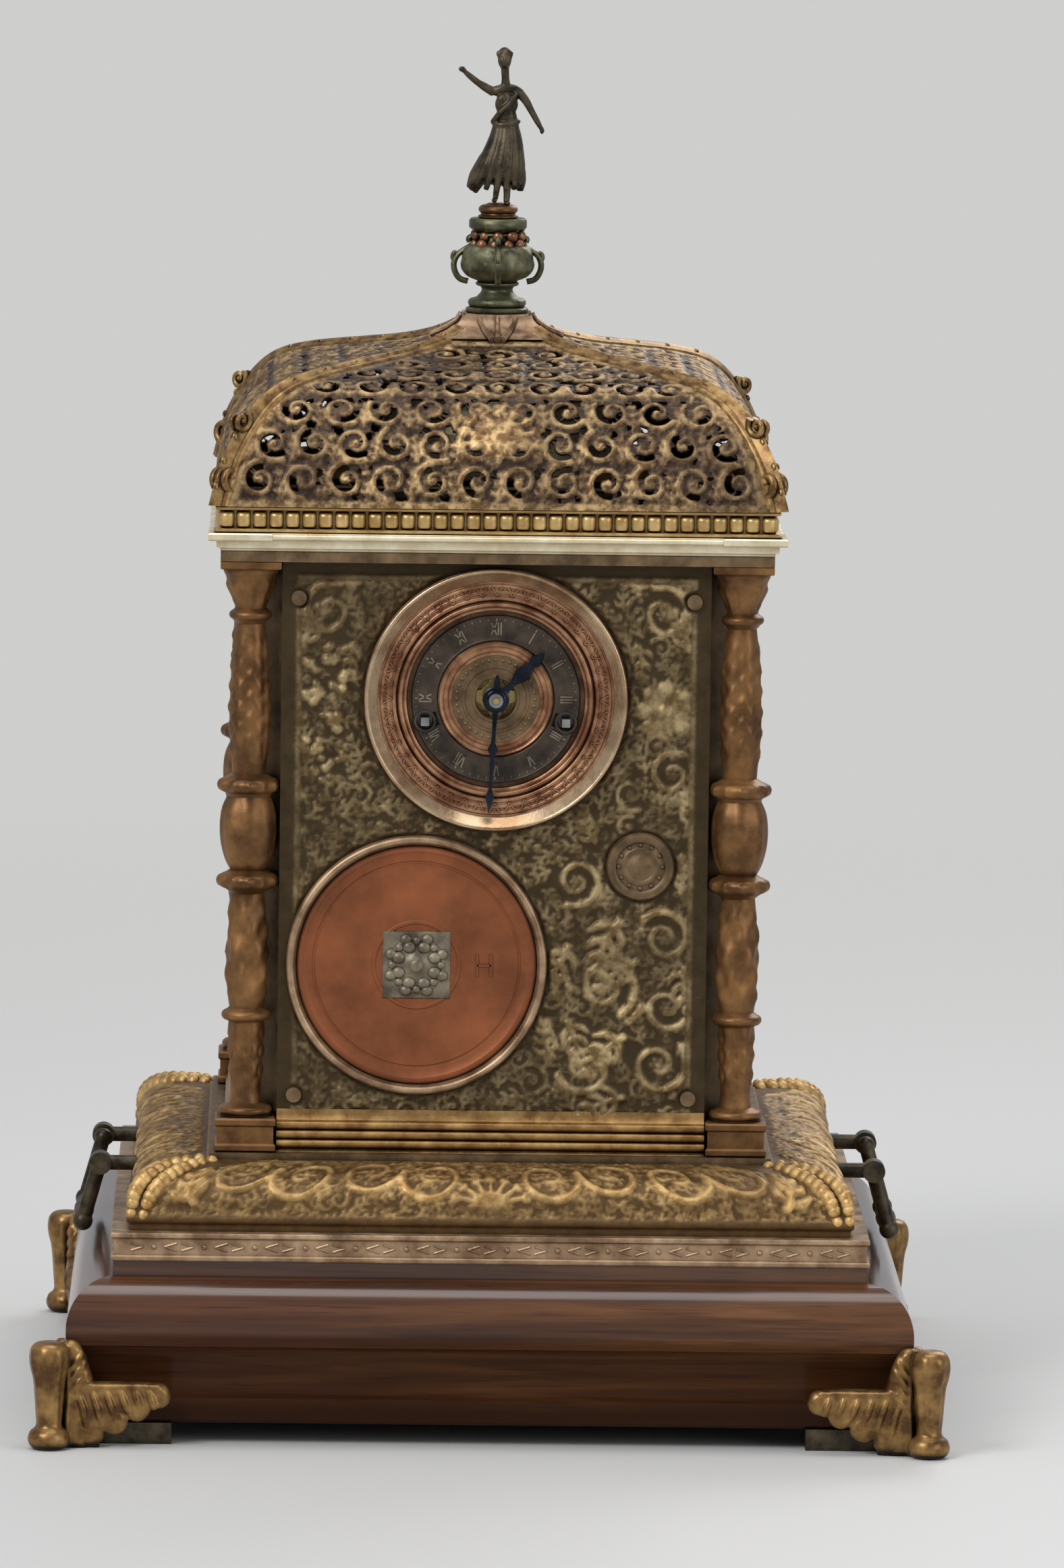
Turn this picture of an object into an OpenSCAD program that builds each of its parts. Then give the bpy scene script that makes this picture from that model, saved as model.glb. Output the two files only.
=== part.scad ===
// Renaissance style table clock: a square brass case with corner columns,
// a pierced dome over the bell, a figure finial and a wooden plinth.
// Origin: middle of the footprint on the table. Front faces -Y. Millimetres.

/* [Plinth] */
// Height of the wood above the table
wood_lift = 8.5; // [6:0.5:12]
// Half width of the widest moulding of the wood
wood_half = 166; // [155:1:166]
// Height of the wooden rails
rail_h = 56.5; // [50:0.5:60]
// Width of a wooden rail, measured inward
rail_w = 38; // [30:1:45]
// Height of the neck board on the rails
neck_h = 6; // [4:0.5:8]
// Half width of the neck board
neck_half = 148; // [144:0.5:149]
// Height of a foot casting at its corner scroll
foot_h = 43.5; // [38:0.5:46]
// Width of a foot leaf along each side
foot_w = 43; // [41:1:50]
// Radius of a foot's corner scroll
foot_scroll_r = 8.5; // [6:0.5:9]

/* [Brass base] */
// Height of the beaded brass fillet
fillet_h = 11; // [8:0.5:14]
// Half width of the beaded brass fillet
fillet_half = 149; // [146:0.5:150]
// Height of the cast skirt
skirt_h = 24; // [20:0.5:30]
// Half width of the skirt at its lower bead
skirt_half = 143; // [140:0.5:145]
// Half width of the skirt at its top ledge
ledge_half = 112; // [111:0.5:116]
// Thickness of the side handles
handle_t = 8; // [6:0.5:9]
// Length of a side handle along the case side
handle_len = 70; // [60:1:90]
// Drop of a side handle below its pivots
handle_drop = 29; // [26:0.5:32]

/* [Case] */
// Height of the columns
column_h = 234.5; // [230:0.5:240]
// Distance of a column's axis from the middle
column_at = 97; // [96:0.5:98]
// Radius of a column's knops
knop_r = 12; // [10:0.25:12]
// Radius of a column's shaft
shaft_r = 7.5; // [6:0.25:8.5]
// Distance of the panels' outer faces from the middle
panel_at = 99; // [97:0.5:100]
// Thickness of the case panels
panel_t = 4; // [3:0.25:4]
// Half width of a panel between the columns
panel_half = 84.6; // [82:0.2:84.6]
// Thickness of the case floor
floor_t = 2.6; // [2:0.1:4]
// Thickness of the case roof
roof_t = 4; // [3:0.25:5]
// Diameter of the small case screws
screw_d = 3; // [2.5:0.1:4]
// Half width of the back door
door_half = 74; // [60:1:74]

/* [Dials] */
// Depth of the upper dial's middle below the roof
dial_drop = 54.1; // [53.5:0.1:56]
// Outer radius of the upper dial
dial_r = 52; // [48:0.5:52]
// Outer radius of the chapter ring
chapter_r = 33.2; // [33.2:0.1:34]
// Inner radius of the chapter ring
chapter_in_r = 23; // [22:0.25:24]
// Height of the lower disc's middle above the case floor
disc_rise = 74.4; // [73:0.1:76]
// Sideways place of the lower disc
disc_x = -30; // [-31:0.5:-29]
// Outer radius of the lower disc's rim
disc_r = 51.5; // [46:0.5:51.5]
// Radius of the rosette boss on the lower disc
boss_r = 14; // [11:0.5:16]
// Length of the minute hand
minute_len = 45; // [38:0.5:46]
// Length of the hour hand
hour_len = 27; // [22:0.5:31]

/* [Top] */
// Height of the cornice
cornice_h = 7.5; // [6:0.25:9]
// Overhang of the cornice past the column blocks
cornice_over = 5; // [4:0.25:6]
// Height of the gadrooned band
band_h = 10.5; // [8:0.5:12]
// Wall of the pierced dome panels
dome_wall = 2.6; // [2:0.1:3.5]
// Height of the dome from the band to its crown
dome_h = 69; // [66:0.5:72]
// Height of the vase under the figure
urn_h = 38; // [34:0.5:42]
// Height of the figure with its knob
figure_h = 69; // [60:1:72]
// Radius of the bell at its mouth
bell_r = 48; // [40:0.5:50]
// Height of the bell
bell_h = 36; // [30:0.5:40]

/* [Movement] */
// Thickness of the movement plates
plate_t = 3; // [2:0.25:3]
// Half width of the movement plates
plate_half = 61; // [60:0.5:64]
// Space between the movement plates
plate_gap = 37; // [37:0.5:39]
// Radius of the spring barrels' drums
drum_r = 22; // [18:0.5:22]
// Length of the drums
drum_len = 18; // [15:0.5:18]
// Effective length of the pendulum
pendulum_len = 159; // [150:1:165]
// Radius of the pendulum bob
bob_r = 16; // [12:0.5:20]

/* [Hidden] */
$fn = 48;

// Colours
gilt = "goldenrod";
old_brass = "darkgoldenrod";
bronze = "darkolivegreen";
copper = "sienna";
steel = "slategray";

// Clearances: a running fit, a close fixed fit and a seat between free faces
run_fit = 0.05;
fix_fit = 0.02;
mitre_gap = 0.05;
seat = 0.3;

// Levels from the table up
rail_top = wood_lift + rail_h;
fillet_z = rail_top + neck_h;
skirt_z = fillet_z + fillet_h;
ledge_z = skirt_z + skirt_h;
case_z = ledge_z + floor_t;
roof_z = case_z + column_h;
cornice_z = roof_z + roof_t;
band_z = cornice_z + cornice_h;
dome_z = band_z + band_h;
crown_z = dome_z + dome_h;
knob_z = crown_z + urn_h;
dial_z = roof_z - dial_drop;
disc_z = case_z + disc_rise;

// Plinth details
rail_in = wood_half - rail_w;
tongue_h = 13;
core_half = skirt_half - 11;
core_top = ledge_z - 8;
fillet_lip = 1.2;
foot_gap = 0.3;
foot_pad_in = 42;
foot_pad_out = 8;
leaf_top = 26;
foot_screw_r = 2;
foot_screw_len = 24;

// Handle pivots
pivot_x = skirt_half + 12;
pivot_z = ledge_z - 12;
eye_r = 4.5;
pin_r = 2;
stud_r = 3;
arm_r = 3;
arm_y = handle_len / 2 - handle_t / 2;
eye_y = handle_len / 2 + 5;
// The grip hangs over the wood's edge
grip_drop = handle_drop - handle_t / 2;
grip_out = wood_half - handle_t / 2 - pivot_x;
handle_tilt = atan2(grip_out, grip_drop);
arm_len = norm([grip_out, grip_drop]);

// Corner posts and screws
panel_in = panel_at - panel_t;
post_t = 4;
post_leg = 22;
block_half = 12;
block_h = 13.4;
abacus_h = 3.2;
cornice_half = column_at + block_half + cornice_over;
cornice_in = column_at - 9;
post_bevel = (knop_r + seat) * sqrt(2) - 2 * (column_at - panel_in);
screw_r = screw_d / 2;
head_r = screw_r + 1.5;
head_h = 2;
screw_x = panel_in - post_leg + 5;
screw_levels = [case_z + 22, roof_z - 15];

// Movement places, measured from the hands' arbor
going_x = 27.8;
barrel_dz = -9.1;
barrel_mod = norm([going_x, barrel_dz]) / 48;
front_y = -86;
back_y = front_y + plate_t + plate_gap;
inner_front = front_y + plate_t;
plate_low = -44;
plate_high = 48;
pillar_x = plate_half - 6;
pillar_dz = [plate_low + 6, plate_high - 6];
foot_x = plate_half - 13;
third_at = 21 * [cos(130), sin(130)];
escape_at = [0, 27];
anchor_at = [0, 42];
// The pin wheel stands 21 from the middle and in mesh with the strike barrel
pin_wheel_at = meet([0, 0], 21, [-going_x, barrel_dz], 48 * barrel_mod);
fly_at = pin_wheel_at - [0, 18];
hammer_at = [56, -30];
minute_at = [0, 14.4];
pivot_r = 1;
arbor_r = 1.5;
barrel_arbor_r = 3;
// Depths of the wheels between the plates
great_y = inner_front + 1.5;
great_t = 2.5;
drum_y = great_y + great_t;
strike_great_y = drum_y + drum_len + 1;
centre_y = back_y - 9;
third_y = back_y - 6.9;
pin_y = back_y - 3.5;
fourth_y = inner_front + 9;
escape_y = inner_front + 3;
wheel_t = 1.5;
// The fourth arbor stands 18 from the third and 16.2 from the escape arbor
fourth_at = meet(third_at, 18, escape_at, 16.2);
winding_hole_r = 3.3;
square_w = 3.2;

// Dial levels in front of the front plate
face_y = -panel_at;
hour_y = face_y - 5.2;
minute_y = face_y - 7.4;
hand_t = 1.2;
cannon_r = 2.2;
hour_pipe_r = 3.4;
centre_hole_r = 4.2;

// Where two circles about a and b meet, on the left of the line from a to b
function meet(a, ra, b, rb) =
    let (d = norm(b - a), u = (b - a) / d, s = (ra * ra - rb * rb + d * d) / (2 * d),
        h = sqrt(ra * ra - s * s))
    a + u * s + [-u[1], u[0]] * h;

// Direction from a to b as an angle
function bearing(a, b) = atan2(b[1] - a[1], b[0] - a[0]);

// Involute teeth with backlash, thinned to 92 percent
function involute(a) = tan(a) - a * PI / 180;
function flank(r, rp, rb, n) =
    90 / n * 0.92 + (involute(20) - involute(acos(min(1, rb / max(r, rb))))) * 180 / PI;
function gear_points(n, m) =
    let (rp = m * n / 2, rb = rp * cos(20), tip = rp + 0.85 * m, root = rp - 1.2 * m,
        low = max(rb, root), rs = [root, low, (low + tip) / 2, tip])
    [for (i = [0:n - 1]) let (a = i * 360 / n)
        for (j = [0:7]) let (r = j < 4 ? rs[j] : rs[7 - j], s = j < 4 ? -1 : 1)
            r * [cos(a + s * flank(r, rp, rb, n)), sin(a + s * flank(r, rp, rb, n))]];

// An arc of points
function arc(cx, cy, r, a0, a1, n) =
    [for (i = [0:n]) [cx + r * cos(a0 + (a1 - a0) * i / n), cy + r * sin(a0 + (a1 - a0) * i / n)]];

// A spiral band that tapers towards its eye
function spiral_side(r, turns, w, s) =
    let (n = ceil(turns * 14))
    [for (i = [0:n]) let (k = s > 0 ? i : n - i, f = k / n,
            q = r * (1 - 0.78 * f) + s * w / 2 * (1 - 0.6 * f))
        q * [cos(360 * turns * f), sin(360 * turns * f)]];
module spiral(r, turns, w, t) {
    linear_extrude(t) polygon(concat(spiral_side(r, turns, w, 1), spiral_side(r, turns, w, -1)));
    cylinder(r = r * 0.24, h = t * 1.15);
}

// Turns a flat shape to stand on the plane y, facing the front
module facing(x, y, z) {
    translate([x, y, z]) rotate([90, 0, 0]) children();
}

// A disc, wheel or arbor between the depths y0 and y1 at a place on the movement
module layer(at, y0, y1) {
    translate([at[0], y1, dial_z + at[1]]) rotate([90, 0, 0]) linear_extrude(y1 - y0) children();
}
module rod(at, r, y0, y1) {
    layer(at, y0, y1) circle(r = r);
}

// A gear with spokes; turn points one tooth in that direction
module wheel(n, m, turn, hub, rim_w = 0.4) {
    rim = m * n / 2 - 2.6 * m - rim_w;
    difference() {
        rotate(turn) polygon(gear_points(n, m));
        if (rim > hub + 3)
            for (a = [45:90:315]) rotate(a)
                polygon(concat(arc(0, 0, rim, -34, 34, 8), arc(0, 0, hub + 1.2, 20, -20, 4)));
    }
}
module pinion(n, m, turn) {
    rotate(turn) polygon(gear_points(n, m));
}
// Direction for a driven gear's tooth, so that a gap faces its driver
function driven(a, b, n) = bearing(a, b) + 180 + 180 / n;

// Four mitred lengths of one moulding; points are [half width, height]. What the
// front length carries, if anything, is given as the child
module mitred(points) {
    reach = 2 * max([for (p = points) p[0]]);
    for (a = [0:90:270]) rotate(a) intersection() {
        union() {
            rotate([90, 0, 90]) linear_extrude(reach, center = true)
                polygon([for (p = points) [-p[0], p[1]]]);
            children();
        }
        translate([0, -mitre_gap * sqrt(2), 0]) linear_extrude(roof_z * 2)
            polygon([[0, 0], [-reach, -reach], [reach, -reach]]);
    }
}

module four_corners(at) {
    for (sx = [-1, 1], sy = [-1, 1]) translate([sx * at, sy * at, 0]) children();
}

module block(x0, x1, y0, y1, z0, z1) {
    translate([x0, y0, z0]) cube([x1 - x0, y1 - y0, z1 - z0]);
}

// One screw with its head's underside at the origin, pointing down
module screw(len) {
    translate([0, 0, -len]) cylinder(r = screw_r, h = len + head_h / 2);
    cylinder(r = head_r, h = head_h);
}

// Plinth

function wood_profile() =
    let (low = wood_half - 8, cove_z = wood_lift + 11.5, band = wood_lift + 31.5, brow = band + 6)
    concat([[low, wood_lift], [low, cove_z - 1]],
        [for (i = [0:6]) [low - 1.5 + 9.5 * (1 - cos(15 * i)),
            cove_z + (band - cove_z) * sin(15 * i)]],
        [for (i = [0:6]) [neck_half + 1 + (wood_half - neck_half - 1) * cos(15 * i),
            brow + (rail_top - brow) * sin(15 * i)]],
        [[rail_in, rail_top], [rail_in, wood_lift]]);

module plinth_rails() {
    color("maroon") difference() {
        mitred(wood_profile());
        foot_screw_holes(foot_screw_r + fix_fit);
    }
}

module plinth_block() {
    color("maroon") difference() {
        union() {
            block_of(rail_in - 0.2, rail_top - tongue_h, rail_top);
            block_of(neck_half, rail_top, fillet_z);
            block_of(core_half, fillet_z, core_top);
        }
        handle_stud_holes(stud_r + 1);
    }
}
module block_of(half, z0, z1) {
    block(-half, half, -half, half, z0, z1);
}

module foot_screws_at(z) {
    near = wood_half - 34;
    far = wood_half - 16;
    for (sx = [-1, 1], sy = [-1, 1], p = [[near, far], [far, near]])
        translate([sx * p[0], sy * p[1], z]) children();
}
module foot_screw_holes(r) {
    foot_screws_at(-1) cylinder(r = r, h = wood_lift + foot_screw_len - 3);
}

module foot_screws() {
    color(steel) foot_screws_at(wood_lift - 5) union() {
        cylinder(r = foot_screw_r, h = foot_screw_len);
        cylinder(r = foot_screw_r + 2, h = 2);
    }
}

// Half of a foot's leaf along one side, from the corner scroll outward
function leaf_outline() =
    let (w = foot_w, h = foot_h, top = leaf_top)
    concat([[0, 0], [12, 0]], arc(12, 5, 5, -70, 30, 5), arc(20, 10, 5.5, -70, 40, 5),
        arc(w - 13, 15, 5, -80, 30, 5), arc(w - 4.5, top - 5.5, 5.5, -90, 80, 7),
        [[w - 8, top], [13, top]], arc(8, h - 10, 6, 10, 90, 4), [[0, h - 4]]);

// A cast foot at the corner +X, +Y: a pad, two leaves and the corner scroll
module foot() {
    out = wood_half + foot_gap;
    leaf_t = 6;
    axis = out + foot_scroll_r - 2.8;
    difference() {
        union() {
            block(out - foot_pad_in, out - foot_pad_out, out - foot_pad_in, out - foot_pad_out,
                0, wood_lift);
            block(out - foot_pad_out - 6, out + 1, out - foot_pad_out - 6, out + 1, 0, wood_lift);
            leaf(out, leaf_t);
            mirror([1, -1, 0]) leaf(out, leaf_t);
            translate([axis, axis, 0]) corner_scroll();
        }
        // The leaf's back stays clear of the wood above the pad
        block(0, out, 0, out, wood_lift, foot_h + 5);
    }
}
module leaf(out, t) {
    translate([out + 2, out + t, 0]) rotate([90, 0, 0]) mirror([1, 0, 0])
        linear_extrude(t) polygon(leaf_outline());
}
module corner_scroll() {
    r = foot_scroll_r;
    h = foot_h;
    rotate_extrude() polygon(concat([[0, 0]], arc(r - 4, 4, 4, -90, 90, 6),
        [[r - 3.2, 12], [r - 3.5, 20], [r - 2.4, h - 14]],
        arc(r - 5, h - 6, 5, -40, 90, 7), [[0, h - 1]]));
}

module corner_feet() {
    color(gilt) difference() {
        for (m = [0, 1], n = [0, 1]) mirror([m, 0, 0]) mirror([0, n, 0]) foot();
        foot_screw_holes(foot_screw_r + fix_fit);
        foot_screws_at(-1) cylinder(r = foot_screw_r + 2 + fix_fit, h = wood_lift - 2);
    }
}

// Brass base

module brass_fillet() {
    h = fillet_half;
    w = fillet_lip;
    color(old_brass) mitred([[h, fillet_z], [h, fillet_z + w + 1], [h - w, fillet_z + w + 1.4],
        [h - w, skirt_z - w - 1.4], [h, skirt_z - w - 1], [h, skirt_z],
        [core_half, skirt_z], [core_half, fillet_z]]);
}

function skirt_profile() =
    let (s = skirt_half, b = skirt_z + 6.5, top = s - 2)
    concat([[s - 1.5, skirt_z], [s - 1.5, skirt_z + 3]], arc(s - 2, b - 2, 2, -60, 75, 6),
        [for (i = [0:9]) [ledge_half + (top - ledge_half) * cos(10 * i),
            b + 3 + (ledge_z - b - 3) * sin(10 * i)]],
        [[ledge_half - 8, ledge_z], [ledge_half - 8, core_top], [core_half, core_top],
            [core_half, skirt_z]]);

module base_skirt() {
    color(gilt) difference() {
        mitred(skirt_profile());
        handle_stud_holes(stud_r + fix_fit);
    }
}

module handle_stud_holes(r) {
    for (s = [-1, 1], y = [-eye_y, eye_y]) translate([s * core_half, y, pivot_z])
        rotate([0, s * 90, 0]) translate([0, 0, -6]) cylinder(r = r, h = 30);
}

module handle_posts() {
    color(bronze) for (s = [-1, 1], y = [-eye_y, eye_y]) translate([0, y, pivot_z]) difference() {
        union() {
            translate([s * (core_half - 4), 0, 0]) rotate([0, s * 90, 0])
                cylinder(r = stud_r, h = pivot_x - core_half + 2);
            translate([s * pivot_x, 4, 0]) rotate([90, 0, 0]) cylinder(r = eye_r, h = 8);
        }
        translate([s * pivot_x, 5, 0]) rotate([90, 0, 0]) cylinder(r = pin_r + run_fit, h = 10);
    }
}

// A bail handle, hanging outward from its pivots on the +X side
module bail() {
    translate([pivot_x, 0, pivot_z]) rotate([0, -handle_tilt, 0]) {
        for (s = [-1, 1]) {
            translate([0, s * (arm_y - arm_r), 0]) rotate([-s * 90, 0, 0])
                cylinder(r = pin_r, h = eye_y - arm_y + arm_r + 4);
            translate([0, s * arm_y, -arm_len + 1]) cylinder(r = arm_r, h = arm_len - 1);
            translate([0, s * arm_y, 0]) sphere(r = arm_r + 0.6);
            translate([0, s * arm_y, -arm_len]) sphere(r = handle_t / 2);
        }
        translate([0, arm_y, -arm_len]) rotate([90, 0, 0]) grip(2 * arm_y);
    }
}
// The turned grip between the arms
module grip(len) {
    t = handle_t / 2;
    rotate_extrude() polygon([[0, 0], [t - 1.2, 0], [t - 1.4, len * 0.12], [t - 0.4, len * 0.2],
        [t - 1.5, len * 0.3], [t - 0.8, len * 0.4], [t, len * 0.46], [t, len * 0.54],
        [t - 0.8, len * 0.6], [t - 1.5, len * 0.7], [t - 0.4, len * 0.8], [t - 1.4, len * 0.88],
        [t - 1.2, len], [0, len]]);
}
module right_handle() {
    color(bronze) bail();
}
module left_handle() {
    color(bronze) mirror([1, 0, 0]) bail();
}

// Case

module case_floor() {
    color(old_brass) difference() {
        block_of(ledge_half - 1, ledge_z, case_z);
        four_corners(column_at) translate([0, 0, ledge_z - 1])
            cylinder(r = screw_r + fix_fit, h = floor_t + 2);
    }
}

// A bevelled L post behind a column; its outer faces carry two panels
function post_outline() =
    let (o = -panel_in, i = o + post_t, b = post_bevel, k = post_t * 0.42)
    [[o, o + post_leg], [o, o + b], [o + b, o], [o + post_leg, o], [o + post_leg, i],
        [o + b + k, i], [i, o + b + k], [i, o + post_leg]];

module corner_posts() {
    color(old_brass) difference() {
        for (a = [0:90:270]) rotate(a) translate([0, 0, case_z])
            linear_extrude(column_h) polygon(post_outline());
        // Room for the columns' square ends
        four_corners(column_at) for (z = [case_z - 1, roof_z - abacus_h - seat])
            translate([0, 0, z]) linear_extrude(z < roof_z / 2 ? block_h + seat + 1 : abacus_h + 1)
                square(2 * (block_half + seat), center = true);
        panel_screw_holes(screw_r + fix_fit);
    }
}

module panel_screws_at() {
    for (a = [0:90:270], s = [-1, 1], z = screw_levels) rotate(a)
        translate([s * screw_x, -panel_at, z]) rotate([90, 0, 0]) children();
}
module panel_screw_holes(r) {
    panel_screws_at() translate([0, 0, -30]) cylinder(r = r, h = 31);
}

module case_screws() {
    color(steel) {
        panel_screws_at() screw(panel_t + post_t);
        four_corners(column_at) translate([0, 0, ledge_z]) mirror([0, 0, 1])
            screw(floor_t + 10);
        four_corners(column_at) translate([0, 0, cornice_z - head_h]) screw(roof_t - head_h + 9);
    }
}

// Three reeds under a cove on each side, between the column blocks
module foot_moulding() {
    y0 = panel_at;
    z0 = case_z;
    reeds = [for (k = [0:2]) each arc(y0 + 5.2 - 0.9 * k, z0 + 3 + 3.6 * k, 1.7, -75, 75, 5)];
    points = concat([[y0, z0], [y0 + 6.6, z0]], reeds,
        [[y0 + 2.6, z0 + 12.5], [y0 + 1.4, z0 + 14], [y0 + 1.2, z0 + 16.4], [y0, z0 + 16.4]]);
    color(gilt) for (a = [0:90:270]) rotate(a)
        rotate([90, 0, 90]) linear_extrude(2 * panel_half, center = true)
            polygon([for (p = points) [-p[0], p[1]]]);
}

// One turned column with its square block, standing at the origin
function column_outline() =
    let (k = knop_r, s = shaft_r, h = column_h)
    concat([[0, 0], [block_half - 2, 0], [block_half - 2, 14]],
        arc(s + 1.2, 15.5, 1.8, -50, 90, 4), [[s - 1, 19], [s - 1.4, 24], [s - 0.6, 50]],
        arc(s + 0.4, 53.5, 2, -80, 80, 5), [[s - 0.6, 57], [s, 64], [s, 92], [s - 0.8, 101]],
        arc(k - 3, 107, 3, -80, 80, 6), [[s - 0.4, 112]],
        [for (i = [0:6]) [s + 1 + 2.6 * sin(30 * i), 114 + 4.6 * i]],
        arc(k - 3, 145, 3, -80, 80, 6), [[s - 0.8, 151], [s, 160], [s + 0.4, 172]],
        [[s - 0.4, 196], [s - 1.6, 207], [s - 1.8, 210]],
        arc(s - 0.8, 212.5, 1.8, -70, 70, 4), [[s - 1.4, 215], [s + 0.2, 219], [k - 2.4, h - 8],
            [k - 1, h - 5], [k - 1, h - 3], [0, h - 3]]);

module corner_columns() {
    b = block_half;
    color(old_brass) four_corners(column_at) translate([0, 0, case_z]) difference() {
        union() {
            rotate_extrude() polygon(column_outline());
            translate([-b, -b, 0]) cube([2 * b, 2 * b, block_h]);
            translate([-b, -b, column_h - abacus_h]) cube([2 * b, 2 * b, abacus_h]);
        }
        translate([0, 0, -1]) cylinder(r = screw_r + fix_fit, h = 13);
        translate([0, 0, column_h - 11]) cylinder(r = screw_r + fix_fit, h = 12);
    }
}

module panel(side) {
    rotate(side) block(-panel_half, panel_half, -panel_at, -panel_in, case_z, roof_z);
}

// Low cast scrolls on the front plate: [x, height above the floor, radius, turn, handed]
front_scrolls = [[-62, 204.4, 12, 200, 1], [-68, 182.4, 11, 20, -1], [-63, 153.4, 10, 120, 1],
    [62, 204.4, 12, -20, -1], [68, 182.4, 11, 160, 1], [62, 153.4, 11, 60, -1],
    [29, 106.4, 10, 250, 1], [66, 82.4, 13, 140, -1], [44, 63.4, 13, 300, 1], [66, 45.4, 12, 40, -1],
    [38, 35.4, 10, 200, 1], [-70, 38.4, 8, 100, 1]];
side_scrolls = [[-40, 191.4, 26, 200, 1], [40, 191.4, 26, -20, -1], [-40, 127.4, 22, 120, -1],
    [40, 127.4, 22, 60, 1], [-40, 63.4, 26, 160, 1], [40, 63.4, 26, 20, -1]];
relief_h = 1.8;

module scrolls(list) {
    for (p = list) facing(p[0], face_y + 0.2, case_z + p[1]) rotate(p[3])
        mirror([0, p[4] > 0 ? 0 : 1, 0]) spiral(p[2], 1.6, p[2] * 0.24, relief_h + 0.2);
}

module front_plate() {
    color(bronze) difference() {
        union() {
            panel(0);
            difference() {
                scrolls(front_scrolls);
                facing(0, 0, dial_z) cylinder(r = dial_r + seat, h = 2 * panel_at);
                facing(disc_x, 0, disc_z) cylinder(r = disc_r + seat, h = 2 * panel_at);
            }
            for (s = [-1, 1], dz = pillar_dz) facing(s * foot_x, front_y, dial_z + dz)
                cylinder(r = 4, h = panel_in + front_y + 1);
        }
        panel_screw_holes(screw_r + fix_fit);
        rod([0, 0], centre_hole_r, -panel_at - 9, -panel_in + 1);
        for (s = [-1, 1]) rod([s * going_x, barrel_dz], winding_hole_r, -panel_at - 9, -panel_in + 1);
        facing(disc_x, 0, disc_z) cylinder(r = stud_r + 1 + run_fit, h = 2 * panel_at);
        facing(medal_at[0], 0, medal_at[1]) cylinder(r = screw_r + fix_fit, h = 2 * panel_at);
    }
}
medal_at = [58, case_z + 114.4];
medal_r = 13.5;

module medallion() {
    r = medal_r;
    color(copper) facing(medal_at[0], face_y, medal_at[1]) {
        rotate_extrude() polygon([[0, 0], [r, 0], [r, 1.6], [r - 1.2, 3], [r - 3, 3],
            [r - 3.8, 2], [r * 0.45, 2.6], [r * 0.2, 4], [0, 4.2]]);
        translate([0, 0, -panel_t]) cylinder(r = screw_r, h = panel_t + 1);
    }
}

module side_panels() {
    color(bronze) difference() {
        for (a = [90, 270]) {
            panel(a);
            rotate(a) scrolls(side_scrolls);
        }
        panel_screw_holes(screw_r + fix_fit);
    }
}

door_low = case_z + 28;
door_high = roof_z - 22;
door_t = 3;
knob_x = door_half - 12;
hinge_r = 2.6;
hinge_x = door_half + 4;
hinge_y = panel_at + seat + hinge_r;
hinge_pin_r = 1.2;

module back_frame() {
    color(bronze) difference() {
        union() {
            panel(180);
            for (z = [door_low + 14, door_high - 32]) hinge_knuckle(z + 6.2, 5.6, hinge_x + 3);
        }
        block(-door_half + 6, door_half - 6, panel_in - 1, panel_at + 1, door_low + 6, door_high - 6);
        panel_screw_holes(screw_r + fix_fit);
        hinge_bores(hinge_pin_r + run_fit);
    }
}

// A knuckle on the door's hinge line, joined to a strap that ends at x = -reach
module hinge_knuckle(z, h, reach) {
    translate([-hinge_x, hinge_y, z]) cylinder(r = hinge_r, h = h);
    lo = min(reach, hinge_x);
    hi = max(reach, hinge_x);
    block(-hi, -lo, reach > hinge_x ? panel_at - 0.5 : panel_at + seat, hinge_y, z, z + h);
}
module hinge_bores(r) {
    translate([-hinge_x, hinge_y, door_low]) cylinder(r = r, h = door_high - door_low);
}

module back_door() {
    y0 = panel_at + seat;
    color(bronze) difference() {
        union() {
            block(-door_half, door_half, y0, y0 + door_t, door_low, door_high);
            block(-door_half + 10, door_half - 10, y0, y0 + door_t + 1.2, door_low + 10, door_high - 10);
            for (z = [door_low + 14, door_high - 32]) {
                hinge_knuckle(z, 6, door_half - 1);
                hinge_knuckle(z + 12, 6, door_half - 1);
                translate([-hinge_x, hinge_y, z]) cylinder(r = hinge_pin_r, h = 18);
            }
        }
        translate([knob_x, y0 - 1, (door_low + door_high) / 2]) rotate([-90, 0, 0])
            cylinder(r = 2 + run_fit, h = door_t + 4);
    }
}

module door_knob() {
    y0 = panel_at + seat + door_t;
    latch = y0 - panel_in + 0.6;
    color(gilt) translate([knob_x, y0, (door_low + door_high) / 2]) rotate([-90, 0, 0]) {
        rotate_extrude() polygon(concat([[0, 1.4], [3.6, 1.4], [3.6, 2.2], [2, 2.8]],
            [[2, 4]], arc(1.6, 6.4, 2.2, -70, 90, 6), [[0, 8.6]]));
        translate([0, 0, -latch - 1.6]) cylinder(r = 2, h = latch + 4);
        translate([-2, -2, -latch - 1.6]) cube([4, 11, 1.6]);
    }
}

module case_roof() {
    color(old_brass) difference() {
        block_of(column_at + block_half, roof_z, cornice_z);
        four_corners(column_at) {
            translate([0, 0, roof_z - 1]) cylinder(r = screw_r + fix_fit, h = roof_t + 2);
            translate([0, 0, cornice_z - head_h]) cylinder(r = head_r + fix_fit, h = head_h + 1);
        }
        block(50, 76, hammer_y - 5, hammer_y + 5, roof_z - 1, cornice_z + 1);
        translate([0, 0, roof_z - 1]) cylinder(r = stud_r + fix_fit, h = roof_t + 2);
    }
}
hammer_y = back_y + plate_t + 5;

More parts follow.
